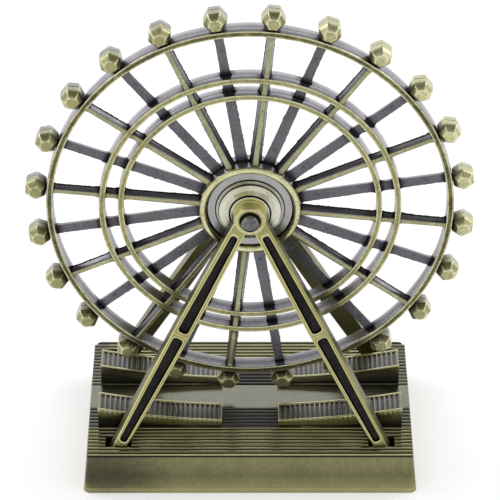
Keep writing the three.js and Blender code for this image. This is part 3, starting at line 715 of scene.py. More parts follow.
class MODEL_OT_base(bpy.types.Operator):
    """Make the drafted base with its ribbed deck, river, leg sockets and open underside"""

    bl_idname = "wheel_model.base"
    bl_label = "Base"

    def execute(self, context):
        base, socket = sizes().base, sizes().socket
        half_x, half_y = base.width / 2, base.depth / 2
        step, worn_edge = 0.02 * MM, 0.1 * MM
        tiny = step / 4
        socket_x = np.array([-1, 1]) * socket.length / 2 + socket.x
        socket_y = np.array([-1, 1]) * socket.width / 2 + socket.y
        rib_y, rib_z = rib_profile(base)
        inner_columns = [0, 7 * MM, 14 * MM, 21 * MM, 26 * MM, socket.x]
        outer_columns = half_x - np.array([2.6, 1.6, 0.9, 0.4, 0.12, 0]) * MM
        outer_rows = half_y - np.array([1.5, 1, 0.6, 0.3, 0.12]) * MM
        columns = mirrored([*inner_columns, *beside_edges(socket_x, step), *outer_columns])
        rows = mirrored([*rib_y, *beside_edges(socket_y, step), *outer_rows])
        x, y = np.meshgrid(columns, rows)
        span_x, span_y = np.abs(x), np.abs(y)

        def within(margin):
            in_x = (span_x > socket_x[0] - margin) & (span_x < socket_x[1] + margin)
            return in_x & (span_y > socket_y[0] - margin) & (span_y < socket_y[1] + margin)

        hole = within(tiny)
        z = DECK + np.interp(span_y, rib_y, rib_z)
        z = np.where(within(step + tiny) & ~hole, z - worn_edge, z)
        z = np.where(hole, DECK - socket.depth, z)
        rub, smoke = deck_finish(base, x, y, z)
        rub = np.where(hole, 0.0, rub)
        fixed = socket_x[1] + 0.2 * MM
        x = round_corners(base, x, y, fixed)
        top = np.stack([x, y, z], -1)

        below_x = np.array([0, 28.8, 37.7, 39.3]) * MM
        below_y = np.array([0, 15.38, 22.08, 22.4]) * MM
        roof_x = np.interp(span_x, [0, *socket_x, half_x], below_x)
        roof_y = np.interp(span_y, [0, *socket_y, half_y], below_y)
        squeeze = np.where(span_x > fixed, np.abs(x) / np.maximum(span_x, tiny), 1)
        roof_z = np.where(hole, DECK - socket.depth - socket.wall, DECK - base.deck)
        roof = np.stack([np.sign(x) * roof_x * squeeze, np.sign(y) * roof_y, roof_z], -1)

        index = np.arange(x.size).reshape(x.shape)
        loop = np.concatenate([index[0, :-1], index[:-1, -1], index[-1, :0:-1], index[:0:-1, 0]])
        edge_top, edge_roof = top.reshape(-1, 3)[loop], roof.reshape(-1, 3)[loop]
        tangent = np.roll(edge_top, -1, 0) - np.roll(edge_top, 1, 0)
        outward = np.stack([tangent[:, 1], -tangent[:, 0]], -1)
        outward /= np.linalg.norm(outward, axis=1, keepdims=True)
        rings, ring_rubs = base_sides(base, edge_top, edge_roof, outward)

        ring_index = x.size + np.arange(len(rings) * len(loop)).reshape(len(rings), len(loop))
        roof_start = x.size + ring_index.size
        skirt = np.concatenate([loop[None], ring_index, loop[None] + roof_start])
        deck_faces = strips(index, around_columns=False)
        faces = [deck_faces, strips(skirt)[:, ::-1], (deck_faces + roof_start)[:, ::-1]]
        points = np.concatenate([top.reshape(-1, 3), *rings, roof.reshape(-1, 3)])
        all_rub = np.concatenate([rub.ravel(), *ring_rubs, np.full(x.size, 0.2)])
        all_smoke = np.concatenate([smoke.ravel(), np.zeros(ring_index.size), np.full(x.size, 0.5)])
        shell = Shell(points, faces, all_rub, all_smoke)
        make_piece("cast_base", "stand", "base_casting", "base_patina", [shell])
        return {"FINISHED"}


# Boarding ramps.


def ramp_height(ramp, along, whole):
    """Height above the deck: straight at first, then rising with the square of the distance."""
    rise = ramp.high - ramp.low
    slope = 0.11 * rise / (0.41 * whole)
    return ramp.low + slope * along + (rise - slope * whole) * (along / whole) ** 2


def ramp_places(ramp, whole):
    """Places along a ramp: three inside each slot, five over each slat and its edges, and the ends. Returns
    them in order, with whether each lies inside a slot and how far it is from the nearest slat's edge."""
    slot = (whole - 2 * ramp.end_wall - (ramp.slots - 1) * ramp.slat) / ramp.slots
    opening = ramp.end_wall + np.arange(ramp.slots) * (slot + ramp.slat)
    step, worn = 0.02 * MM, 0.07 * MM
    inside = np.stack([opening + step, opening + slot / 2, opening + slot - step], 1).ravel()
    crests = [opening - ramp.slat / 2, opening - worn, opening, opening + slot, opening + slot + worn]
    crests = np.stack(crests, 1)
    crests[0, 0] = 0.3 * MM
    ends = [0, 0.06 * MM, 0.16 * MM, whole - 0.3 * MM, whole - 0.16 * MM, whole - 0.06 * MM, whole]
    along = np.concatenate([inside, crests.ravel(), ends])
    order = np.argsort(along)
    open_here = (np.arange(len(along)) < len(inside))[order]
    along = along[order]
    edges = np.concatenate([opening, opening + slot])
    return along, open_here, np.abs(np.subtract.outer(along, edges)).min(1)


def slatted_block(ramp, whole, depth, river_wall, outer_wall):
    """The slatted block of a ramp as grids of along, across, height, rub and smoke. Each wall is given by the
    rub at its foot, where it carries painted shade, how far below its top it turns brighter, and the rub
    there."""
    along, open_here, edges = ramp_places(ramp, whole)
    worn_end, end_fall, end_polish = 0.16 * MM, 0.75, 0.3 * MM
    slat_drop, shoulder_drop, dip = 0.1 * MM, 0.2 * MM, 0.1 * MM
    from_end = np.minimum(along, whole - along)
    top = ramp_height(ramp, along, whole) - np.clip(worn_end - from_end, 0, None) * end_fall
    shoulder = edges < 0.01 * MM
    slat_top = top - slat_drop - np.where(shoulder, shoulder_drop, 0)
    slat_rub = np.where(shoulder, 0.46, 0.72)
    gap_side = open_here & (edges < 0.05 * MM)
    floor = np.where(open_here, top - ramp.slot_depth, slat_top)
    ridge = np.where(open_here, top - ramp.ridge_drop - np.where(gap_side, 0, dip), slat_top)
    floor_rub = np.where(open_here, 0.02, slat_rub)
    dark, light = (np.where(open_here, value + 0.2 * gap_side, slat_rub) for value in (0.25, 0.42))
    grey = np.where(open_here | shoulder, 1.0, 0.5)
    soft, rail = 0.14 * MM, ramp.rail

    def wall(shaded_foot_rub, waist, waist_rub):
        section = [
            (0, None, shaded_foot_rub, 0.6), (0, -waist - 0.8 * MM, shaded_foot_rub, 0.35), (0, -waist, waist_rub, 0),
            (0, -soft, 0.66, 0), (soft * 0.3, -soft * 0.3, 1.0, 0), (soft, 0, 0.92, 0),
            (rail - soft, 0, 0.92, 0), (rail - soft * 0.3, -soft * 0.3, 0.95, 0), (rail, -soft, 0.6, 0),
        ]
        return [
            (y, 0 * top if drop is None else np.maximum(top + drop, 0), rub, smoke)
            for y, drop, rub, smoke in section
        ]

    lines = [
        *wall(*river_wall),
        (rail, floor, floor_rub, 0),
        (rail + 0.08 * MM, ridge, dark, grey),
        (rail + 1.1 * MM, ridge, light, grey),
        (depth - rail - 1.4 * MM, ridge, light, grey),
        (depth - rail - 0.08 * MM, ridge, dark, grey * 0.6),
        (depth - rail, floor, floor_rub, 0),
        *((depth - y, *line) for y, *line in wall(*outer_wall)[::-1]),
    ]
    y, z, rub, smoke = (
        np.stack([np.broadcast_to(value, len(along)) for value in values], 1) for values in zip(*lines)
    )
    x = np.broadcast_to(along[:, None], y.shape)
    end_rub = np.clip(1 - from_end[:, None] / end_polish, 0, 1) * np.where(x > whole / 2, 0.85, 0.6)
    return x, y, z, np.where(z > 0, np.maximum(rub, end_rub), 0.1), smoke


class MODEL_OT_ramps(bpy.types.Operator):
    """Make the four slatted boarding ramps with their pegs"""

    bl_idname = "wheel_model.ramps"
    bl_label = "Ramps"

    def execute(self, context):
        ramp = sizes().ramp
        peg_turn, peg_inset = round_angles(24), 5 * MM
        for place, side_x, side_y in QUARTERS:
            low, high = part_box("ramp_" + place)
            start, end = sorted((abs(low.x), abs(high.x)))
            near, far = sorted((abs(low.y), abs(high.y)))
            whole, depth = end - start, far - near
            # Painted shade: walls darken towards their foot, with other values for each side as the light
            # falls.
            river_wall = (0.4, 1.4 * MM, 0.55) if side_y < 0 else (0.42, 0.9 * MM, 0.44)
            outer_wall = (0.55, 1.6 * MM, 0.66) if side_x > 0 else (0.34, 1.6 * MM, 0.62)
            x, y, z, rub, smoke = slatted_block(ramp, whole, depth, river_wall, outer_wall)
            points = np.stack([side_x * (start + x), side_y * (near + y), DECK + z], -1)
            shells = [lofted(points, rub, smoke)]
            for peg in (peg_inset, whole - peg_inset):
                peg_x = side_x * (start + peg) + ramp.peg * np.cos(peg_turn)
                peg_y = side_y * (near + depth / 2) + ramp.peg * np.sin(peg_turn)
                peg_z = np.array([low.z, DECK + ramp.low / 2])[:, None]
                shells.append(lofted(np.stack(np.broadcast_arrays(peg_x, peg_y, peg_z), -1), 0.2))
            name = "slatted_ramp_" + place
            make_piece(name, "stand", "ramp_" + place, "ramp_patina", shells)
        return {"FINISHED"}


# A-frames.


class LegPlane:
    """The plane that both legs of a frame lie in, seen from its front."""

    def __init__(self, frame_sizes):
        self.sizes = frame_sizes
        self.front = frame_sizes.boss_front - frame_sizes.setback
        self.drop = AXLE_HEIGHT - DECK
        self.lean = math.atan((frame_sizes.foot_y - self.front) / self.drop)
        self.full = self.drop / math.cos(self.lean)
        self.middle = self.full / 2 + frame_sizes.bridge_drop
        self.slant = (frame_sizes.foot_x - frame_sizes.spread) / self.full
        self.stretch = math.hypot(1, self.slant)

    def half_width(self, down, depth=0.0):
        """Half the leg's width: an even change from head to foot, a bulge of s (1 - s) over the share s of
        the way down, and a draft that grows with the depth behind the front."""
        size, share, bridge = self.sizes, down / self.full, self.middle / self.full
        even = size.leg_head + (size.leg_foot - size.leg_head) * share
        swell = size.leg_middle - size.leg_head - (size.leg_foot - size.leg_head) * bridge
        bulge = swell * share * (1 - share) / (bridge * (1 - bridge))
        draft = size.draft_head + (size.draft_foot - size.draft_head) * share
        return (even + bulge) / 2 + draft * depth / size.leg_depth

    def boss_edge(self, across):
        """How far down a leg starts, inside the boss: on a circle between its bore and its outside."""
        root_depth = 0.85 * MM
        radius = self.sizes.boss_radius - root_depth
        off = self.sizes.spread / self.stretch + across
        along = np.sqrt(np.maximum(radius**2 - off**2, 0)) - self.sizes.spread * self.slant / self.stretch
        return along / self.stretch

    def point(self, side, down, across, depth):
        """A point of a leg, from its distance down the lean, across the leg and behind its front face."""
        across = side * across
        x = side * (self.sizes.spread + self.slant * down) + across / self.stretch
        up = -down + side * self.slant * across / self.stretch
        y = depth * math.cos(self.lean) + up * math.sin(self.lean) - self.front
        z = -depth * math.sin(self.lean) + up * math.cos(self.lean) + AXLE_HEIGHT
        return np.stack(np.broadcast_arrays(x, np.minimum(y, -self.sizes.boss_back), z), -1)


def leg_half(plane, side, head, foot, pocket, halves):
    """Half of a leg with one long pocket. Rings run from the back edge over the sides to the front face, and
    then down the pocket to its floor. The pocket's two ends have different half widths h, and each is a curve
    of h sin(a)^0.8, r cos(a)^0.8."""
    turns, sides, fullness = 17, 24, 0.8
    size = plane.sizes
    reach, edge, floor, lean_in = size.leg_depth, size.edge, size.pocket_depth, size.pocket_draft
    arc = np.linspace(-math.pi / 2, math.pi / 2, turns)
    swing = np.sign(np.sin(arc)) * np.abs(np.sin(arc)) ** fullness
    bulge = np.maximum(np.cos(arc), 0) ** fullness
    along = np.linspace(0, 1, sides + 2)[1:-1]

    def outer(inset, depth):
        head_across = swing * (plane.half_width(head(0.0), depth) - inset)
        foot_across = -swing * (plane.half_width(foot, depth) - inset)
        ends_down = head(head_across)
        sides_down = [start + (foot - start) * along for start in (ends_down[-1], ends_down[0])]
        down = np.concatenate([ends_down, sides_down[0], np.full(turns, foot), sides_down[1][::-1]])
        halves_down = [plane.half_width(side_down, depth) - inset for side_down in sides_down]
        across = np.concatenate([head_across, halves_down[0], foot_across, -halves_down[1][::-1]])
        return down, across, depth

    def slot(grow, depth):
        first, last = halves[0] + grow, halves[1] + grow
        round_end = (size.pocket_round + grow) / plane.stretch
        start = pocket[0] + size.pocket_round / plane.stretch
        stop = pocket[1] - size.pocket_round / plane.stretch
        down = np.concatenate([start - round_end * bulge, start + (stop - start) * along,
                               stop + round_end * bulge, stop + (start - stop) * along])
        across = np.concatenate([first * swing, first + (last - first) * along,
                                 -last * swing, -last - (first - last) * along])
        return down, across, depth

    def between(one, other):
        return tuple((first + second) / 2 for first, second in zip(one, other))

    face, lip = outer(edge, 0), slot(0.16 * MM, 0)
    flat = between(face, lip)
    layers = [
        (outer(edge, reach), 0.62), (outer(edge * 0.3, reach - edge * 0.3), 0.56),
        (outer(0, reach - edge), 0.44), (outer(0, reach * 0.6), 0.42), (outer(0, reach * 0.3), 0.45),
        (outer(0, edge), 0.6), (outer(edge * 0.3, edge * 0.3), 0.92), (face, 0.82),
        (between(face, flat), 0.6), (flat, 0.55), (between(lip, flat), 0.62), (lip, 0.85),
        (slot(0.05 * MM, 0.05 * MM), 0.85), (slot(0, 0.16 * MM), 0.42),
        (slot(-lean_in * 0.3, floor * 0.35), 0.17), (slot(-lean_in * 0.8, floor - 0.15 * MM), 0.07),
        (slot(-lean_in - 0.2 * MM, floor), 0.07),
    ]
    rings = [plane.point(side, *ring) for ring, _ in layers]
    rub = np.array([value for _, value in layers])[:, None]
    order = np.arange(len(layers))[:, None]
    on_side, on_edge, on_front = order < 5, (order >= 5) & (order < 8), (order >= 5) & (order < 13)
    # Painted shade: the leg at side -1 darkens on its outer side near the boss, the leg at side +1 on its
    # outer front edge.
    shaded = 0.7 * np.clip(1 - face[0] / (26 * MM), 0, 1) * on_side * (side < 0)
    painted_edge_shade = 0.24 * (face[1] > 0) * on_edge * (side > 0)
    return lofted(rings, rub * (1 - shaded - painted_edge_shade), 0.4 * on_front)


def leg_foot(plane, side, socket):
    """The part of a leg below the deck, kept inside its socket with a little play."""
    down = plane.full + np.array([0, 0.8, 1.6, 2.4, 3.4, 4.4, 5.8]) * MM
    reach, edge = plane.sizes.leg_depth, plane.sizes.edge
    front, back = plane.half_width(plane.full), plane.half_width(plane.full, reach)
    outline = softened([(-front, 0), (front, 0), (back, reach), (-back, reach)], edge)
    points = plane.point(side, down[:, None], outline[:, 0], outline[:, 1])
    below = points[..., 2] < DECK
    spans = [(side * socket.x, socket.length), (-socket.y, socket.width)]
    for axis, (middle, size) in enumerate(spans):
        room = size / 2 - socket.play
        held = np.clip(points[..., axis], middle - room, middle + room)
        points[..., axis] = np.where(below, held, points[..., axis])
    points[..., 2] = np.maximum(points[..., 2], DECK - socket.depth + 0.05 * MM)
    return lofted(points, np.array([0.66, 0.66, 0.55, 0.35, 0.15, 0.1, 0.1])[:, None])


def frame_boss(size, bore):
    """The boss that holds the axle, with a wide round on its front edge."""
    outer, back, front = size.boss_radius, -size.boss_back, -size.boss_front
    inset, steps = 0.6 * MM, 6
    corners = [(bore, back), (outer, back), (outer, front), (bore + inset, front), (bore, front + inset)]
    radii = np.array([0.05 * MM, 0.15 * MM, size.boss_round, 0.6 * MM, 0.3 * MM])
    # The boss's side gets full rub and the warm tones: partly yellower bronze, partly a painted reflection.
    rub = carried_round([0.2, 1.0, 0.76, 0.62, 0.15], [0, 0, 0, 0.1, 0], steps)
    gold_tone_and_sheen = carried_round([0, 1, 0.2, 0, 0], 0.0, steps)
    return turned(softened(corners, radii, steps), 96, rub, gold_tone_and_sheen)


class MODEL_OT_frames(bpy.types.Operator):
    """Make the front and rear A-frames with their pocketed legs and bosses"""

    bl_idname = "wheel_model.frames"
    bl_label = "A-frames"

    def execute(self, context):
        size, socket = sizes().frame, sizes().socket
        plane = LegPlane(size)
        middle, narrow, wide = plane.middle, size.narrow / 2, size.wide / 2
        upper = (size.head_inset, middle - size.bridge / 2)
        lower = (middle + size.bridge / 2, plane.full - size.foot_inset)
        shells = []
        for side in (-1, 1):
            shells += [
                leg_half(plane, side, plane.boss_edge, middle, upper, (narrow, wide)),
                leg_half(plane, side, lambda across: middle + 0 * across, plane.full, lower, (wide, narrow)),
                leg_foot(plane, side, socket),
            ]
        shells.append(frame_boss(size, sizes().hub.bore))
        for place, end in ENDS:
            half_turn = np.array([-end, -end, 1])
            placed_shells = [shell.times(half_turn) for shell in shells]
            replaced = place + "_frame"
            make_piece(place + "_a_frame", "stand", replaced, "frame_patina", placed_shells)
        return {"FINISHED"}


# Axle, washers and bushes.


def turned_axle(hub):
    """A pin with domed ends: each dome goes as sin a, cos a from near its middle to its edge."""
    turn = np.linspace(0.06, math.pi / 2, 9)
    radius = hub.axle_radius * np.sin(turn)
    dome = hub.axle_end - hub.axle_dome + hub.axle_dome * np.cos(turn)
    radius = np.concatenate([radius, radius[::-1]])
    rub = np.where(radius < 1.9 * MM, 0.42, 0.6)
    return turned(np.column_stack([radius, np.concatenate([-dome, dome[::-1]])]), 64, rub, solid=True)


def washer(hub, end):
    """A flat ring between the boss and the bush."""
    back, front, outer = end * hub.washer_back, end * hub.washer_front, hub.washer_radius
    outline = softened([(hub.bore, back), (outer, back), (outer, front), (hub.bore, front)], 0.18 * MM)
    return turned(outline, 96, carried_round([0.3, 0.8, 0.75, 0.3], [0.0, 0.1, 0.2, 0.0]))


def stepped_bush(hub, end):
    """A bush with a sleeve, a flange, a raised step and a shallow dome. Each corner has a radius, a place, a
    rub, more rub on the corner itself, and a share of painted bronze reflection. The painted reflection is
    strongest on top, varies at random round the turn, and fades with the turn a as e^(-((a - 0.1) / 0.75)^2)."""
    step, raised, flange, segments = hub.step, hub.raised_radius, hub.flange, 128
    corners = [
        (hub.bore, 0.06 * MM, 0.2, 0, 0),
        (hub.sleeve, 0.06 * MM, 0.2, 0, 0),
        (hub.sleeve, hub.flange_back, 0.2, 0, 0),
        (hub.flange_radius, hub.flange_back, 0.2, 0, 0),
        (hub.flange_radius, flange, 0.62, 0.1, 0),
        (step + 0.2 * MM, flange, 0.1, 0.2, 0.3),
        (step + 0.14 * MM, flange - 0.15 * MM, 0.15, 0, 0.4),
        (step + 0.05 * MM, flange - 0.15 * MM, 0.3, 0, 0.7),
        (step, flange + 0.35 * MM, 0.66, 0.4, 0.75),
        (raised + 0.15 * MM, flange + 0.5 * MM, 0.4, 0.1, 0.9),
        (raised, hub.raised, 0.94, 0.4, 0.4),
        ((raised + hub.dome_radius) / 2, (hub.raised + hub.dome) / 2 + 0.1 * MM, 0.9, 0, 1),
        (hub.dome_radius, hub.dome, 0.0, 0.1, 0.4),
        (hub.dome_radius, hub.seat, 0.1, 0, 0),
        (hub.bore, hub.seat, 0.2, 0, 0),
    ]
    radius, place, level, brighter, reflection_share = np.array(corners).T
    turn = round_angles(segments)[:, None]
    bronze_reflection = 0.15 + 0.75 * np.exp(-((np.minimum(turn, 2 * math.pi - turn) - 0.1) / 0.75) ** 2)
    bronze_reflection = bronze_reflection * (0.6 + 0.8 * smooth_noise(np.random.default_rng(5), segments, 9))[:, None]
    bronze_reflection = np.clip(carried_round(reflection_share) * bronze_reflection, 0, 1)
    # The painted reflection also lowers the rub.
    rub = carried_round(level, brighter) * (1 - 0.38 * bronze_reflection)
    outline = np.column_stack([radius, place * end])
    return turned(softened(outline, 0.12 * MM), segments, rub, bronze_reflection)


class MODEL_OT_hub(bpy.types.Operator):
    """Make the axle, both washers and both stepped bushes"""

    bl_idname = "wheel_model.hub"
    bl_label = "Axle and bushes"

    def execute(self, context):
        hub = sizes().hub
        make_piece("turned_axle", "stand", "axle", "axle_skin", [turned_axle(hub)])
        for place, end in ENDS:
            name, replaced = place + "_thrust_washer", place + "_washer"
            make_piece(name, "stand", replaced, "hub_plating", [washer(hub, end)])
            name, replaced = place + "_stepped_bush", place + "_hub_bush"
            make_piece(name, "wheel", replaced, "hub_plating", [stepped_bush(hub, end)])
        return {"FINISHED"}


# Wheel castings.


def wheel_ring(inner, outer, depth, end, edge, middle_rub, first, rng):
    """One ring of a half casting, with worn edges, grey on its round faces and bronze on its flat one. The
    rear half's round faces are painted brighter, as a painted reflection of the white surroundings. Beside a
    spoke the round faces are painted black as shade with ragged edges, going as e^(-(distance / reach)^2)."""
    segments, reach = 288, 1.3 * MM
    border, face = (outer - inner) * 0.24, end * depth
    outline = softened(
        [(inner, 0), (outer, 0), (outer, face * 0.5), (outer, face), (outer - border, face),
         (inner + border, face), (inner, face), (inner, face * 0.5)],
        np.array([0.12, 0.12, 0.3, edge / MM, 0.1, 0.1, edge / MM, 0.3]) * MM)
    # Painted reflection: the rear half's round faces get more rub.
    outside, inside = ((0.8, 0.6), (0.74, 0.6)) if end < 0 else ((0.8, 0.94), (0.8, 0.66))
    rub = carried_round([0.2, *outside, 0.84, middle_rub, 0.84, *inside], [0, 0, 0, 0.1, 0, 0, 0.1, 0])
    smoke = carried_round([1.0, 1.0, 1.0, 0.0, 0.0, 0.0, 1.0, 1.0])
    turn = round_angles(segments)
    apart = np.abs((turn - first + SPOKE_STEP / 2) % SPOKE_STEP - SPOKE_STEP / 2) * (inner + outer) / 2
    ragged = 0.7 + 0.6 * smooth_noise(rng, segments, 3)
    # Painted shade beside each spoke on the round faces.
    shade = np.exp(-(apart / (reach * ragged)) ** 2)[:, None] * smoke
    return turned(outline, segments, rub * (1 - 0.9 * shade), np.broadcast_to(smoke, shade.shape))


def hub_cup(size, end):
    """The cup round the hub. The bead rolled over its edge is half an ellipse."""
    middle = (size.hub_radius + size.hub_lip) / 2
    half = (size.hub_radius - size.hub_lip) / 2
    turn = np.linspace(0, math.pi, 13)
    bead = size.hub_edge + (size.bead_crest - size.hub_edge) * np.sin(turn)
    radius = [size.hub_bore, size.hub_radius - 0.1 * MM, *[size.hub_radius] * 3,
              *(middle + half * np.cos(turn)), size.hub_lip, size.hub_lip, size.hub_bore]
    out = [0, 0, 0.1 * MM, 1.4 * MM, size.hub_edge - 0.15 * MM, *bead,
           size.hub_web + 0.2 * MM, size.hub_web, size.hub_web]
    rub = [0.2, 0.2, 0.8, 0.8, 0.75, *(0.74 + 0.14 * np.sin(turn)), 0.25, 0.1, 0.1]
    smoke = [1, 1, 1, 1, 1, *(0 * turn), 0, 0, 0]
    return turned(np.column_stack([radius, end * np.array(out)]), 192, rub, smoke)


def spoke(size, turn, end, rng):
    """One tapered spoke. Its section is carried out along the radius; its half widths go evenly from hub to
    rim, swell as e^(-distance) beside each ring, and stand out in ragged flash on the parting plane."""
    stops = [
        size.hub_radius, size.inner_inner, size.inner_outer, size.middle_inner, size.middle_outer,
        size.rim_inner,
    ]
    radius = np.linspace(size.hub_radius - 0.6 * MM, size.rim_inner + 0.6 * MM, 150)
    count = len(radius)
    share = (radius - radius[0]) / np.ptp(radius)
    foot = (size.foot_hub + (size.foot_rim - size.foot_hub) * share) / 2
    crest = (size.crest_hub + (size.crest_rim - size.crest_hub) * share) / 2
    swell = sum(np.exp(-np.abs(radius - stop) / (0.55 * MM)) for stop in stops)
    ragged = size.flash * (0.5 + 1.1 * np.clip(swell, 0, 1))
    flash = [ragged * smooth_noise(rng, count, 3) ** 2 * smooth_noise(rng, count, 15) for _ in range(2)]
    foot_swell, crest_swell = 0.25 * MM * swell, 0.18 * MM * swell
    rise_swell, waist_inset = 0.12 * MM * np.clip(swell, 0, 1), 0.12 * MM
    left, right = foot + flash[0] + foot_swell, foot + flash[1] + foot_swell
    waist, top = foot - waist_inset + foot_swell, crest + crest_swell
    rise = size.crest + rise_swell
    zero = 0 * radius
    lip, shoulder = 0.1 * MM + zero, 0.3 * MM + zero
    across = np.stack([-left, right, right, waist, top, -top, -waist, -left], 1)
    out = np.stack([zero, zero, lip, shoulder, rise, rise, shoulder, lip], 1)
    rounds = np.array([0.03, 0.03, 0.05, 0.2, 0.3, 0.3, 0.2, 0.05]) * MM
    section = softened(np.stack([across, out], -1), rounds, 2)
    points = at_wheel(turn, radius[:, None], section[..., 0], end * section[..., 1])
    rub = carried_round([0.47, 0.2, 0.2, 0.66, 0.68, 0.66, 0.2, 0.2], [0, 0, 0, -0.3, 0, 0, -0.3, 0], 2)
    smoke = carried_round([1.0, 0.6, 0.5, 1.0, 0.1, 1.0, 0.5, 0.6], 0.0, 2)
    # Dark patches by each ring and the hub: partly ragged flash in patina, partly painted shade where the
    # spoke meets them.
    root_shade_and_flash = np.clip(swell * (0.35 + smooth_noise(rng, count, 3)), 0, 1)[:, None]
    return lofted(points, rub * (1 - root_shade_and_flash * (0.25 + 0.7 * smoke)), smoke)


def pin_marks(size, turn, end):
    """Small round marks that the mould's pins leave on a spoke's flat back, near the hub and near the rim."""
    around = round_angles(20)
    shells = []
    for middle in (size.hub_radius + 4.2 * MM, size.rim_inner - 4.6 * MM):
        rings = [
            at_wheel(turn, middle + reach * MM * np.cos(around), reach * MM * np.sin(around), end * rise * MM)
            for reach, rise in ((0.45, 0.3), (0.45, -0.05), (0.38, -0.1), (0.3, -0.06))
        ]
        shells.append(lofted(rings, np.array([0.1, 0.1, 0.6, 0.45])[:, None], 1.0))
    return shells


class MODEL_OT_wheel(bpy.types.Operator):
    """Make the two half castings of the wheel, with rings, spokes and hub cups"""

    bl_idname = "wheel_model.wheel"
    bl_label = "Wheel castings"

    def execute(self, context):
        size = sizes().wheel
        rings = [
            (size.rim_inner, size.rim_outer, 0.3 * MM, 0.36),
            (size.middle_inner, size.middle_outer, 0.2 * MM, 0.56),
            (size.inner_inner, size.inner_outer, 0.2 * MM, 0.56),
        ]
        for (place, end), slot, seed in zip(ENDS, ("wheel_bronze", "wheel_grey"), (11, 23)):
            rng = np.random.default_rng(seed)
            first = size.first_spoke + (SPOKE_STEP / 2 if end > 0 else 0)
            shells = [
                wheel_ring(inner, outer, size.ring_depth, end, edge, middle_rub, first, rng)
                for inner, outer, edge, middle_rub in rings
            ]
            shells.append(hub_cup(size, end))
            for number in range(SPOKE_COUNT):
                turn = first + number * SPOKE_STEP
                shells.append(spoke(size, turn, end, rng))
                shells.extend(pin_marks(size, turn, end))
            name, replaced = place + "_wheel_casting", "wheel_" + place + "_half"
            make_piece(name, "wheel", replaced, "wheel_patina", shells)
        return {"FINISHED"}


# Pods.


def pod_levels(pod):
    """Places along the axle, widths across corners and rubs, from one end of a pod to the other. A width that
    isn't given lies on the straight taper from the end to the band."""
    soft = 0.16 * MM
    half, band, end, across = pod.half, pod.band, pod.end_across, pod.across
    levels = [
        (-half, end - 0.5 * MM, 0.62), (-half + soft * 0.4, end - 0.1 * MM, 0.85),
        (-half + soft * 1.5, end + 0.25 * MM, 0.8), (-(half + band) / 2, None, 0.58),
        (-band - 0.3 * MM, None, 0.66), (-band, across - 0.24 * MM, 0.8),
        (-band + 0.3 * MM, across - 0.1 * MM, 0.84), (-0.5 * MM, across, 0.8), (-0.14 * MM, across, 0.85),
        (-0.05 * MM, across - 0.15 * MM, 0.35),
    ]
    taper = (across - end) / (half - band)
    levels = [(y, end + taper * (y + half) if width is None else width, rub) for y, width, rub in levels]
    levels += [(-y, width, rub) for y, width, rub in levels[::-1]]
    return np.array(levels).T


class MODEL_OT_pods(bpy.types.Operator):
    """Make the hexagonal pods that stand on tabs round the rim"""

    bl_idname = "wheel_model.pods"
    bl_label = "Pods"

    def execute(self, context):
        pod, wheel = sizes().pod, sizes().wheel
        steps = 3
        y, width, level = pod_levels(pod)
        corner = np.arange(6) * math.pi / 3
        squash = pod.over_flats / (pod.across * math.cos(math.pi / 6))
        hexagon = np.stack([np.cos(corner), squash * np.sin(corner)], -1) / 2
        outline = softened(hexagon[None] * width[:, None, None], pod.edge, steps)
        across, out = outline[..., 0], outline[..., 1]
        share = np.linspace(0, 1, steps + 1)
        worn = np.tile(4 * share * (1 - share), 6)
        # The inner side, towards the rim, is made darker: partly patina in the gap by the rim, partly painted
        # shade.
        toward_rim_shade = np.clip(-out / (0.3 * pod.over_flats) - 0.6, 0, 1)
        rub = np.clip(level[:, None] + 0.36 * worn, 0, 1) * (1 - 0.75 * toward_rim_shade)
        fading, band, past = pod.band + np.array([0.1, 0, 0.3]) * MM
        places = [-fading, -band, -0.2 * MM, 0, band, past]
        smoke = np.interp(y, places, [0, 0.25, 0.25, 0.8, 0.8, 0])[:, None]

        tab_corners = np.array([(-1, -1), (1, -1), (1, 1), (-1, 1)]) * [pod.tab_width / 2, pod.tab_depth]
        tab_outline = softened(tab_corners, 0.15 * MM)
        tab_reach = np.array([pod.tab_foot, wheel.rim_outer + 0.05 * MM, pod.ring - 1.5 * MM])[:, None]
        tab_rub = np.array([0.1, 0.3, 0.3])[:, None]
        for number in range(POD_COUNT):
            turn = wheel.first_spoke + number * 2 * math.pi / POD_COUNT
            # Painted highlight: pods near the highlight side get more rub and less grey, as cos^2 of the
            # turn.
            highlight_share = max(math.cos(turn - pod.highlight_side), 0) ** 2
            rub_with_highlight = np.clip(rub + 0.2 * highlight_share * (1 - toward_rim_shade), 0, 1)
            points = at_wheel(turn, pod.ring + out, across, y[:, None])
            body = lofted(points, rub_with_highlight, smoke * (1 - 0.7 * highlight_share))
            tab = lofted(at_wheel(turn, tab_reach, tab_outline[:, 0], tab_outline[:, 1]), tab_rub)
            node = f"pod_{number + 1:02d}"
            make_piece(f"hexagonal_{node}", "wheel", node, "pod_patina", [body, tab])
        return {"FINISHED"}


# Foot screws.


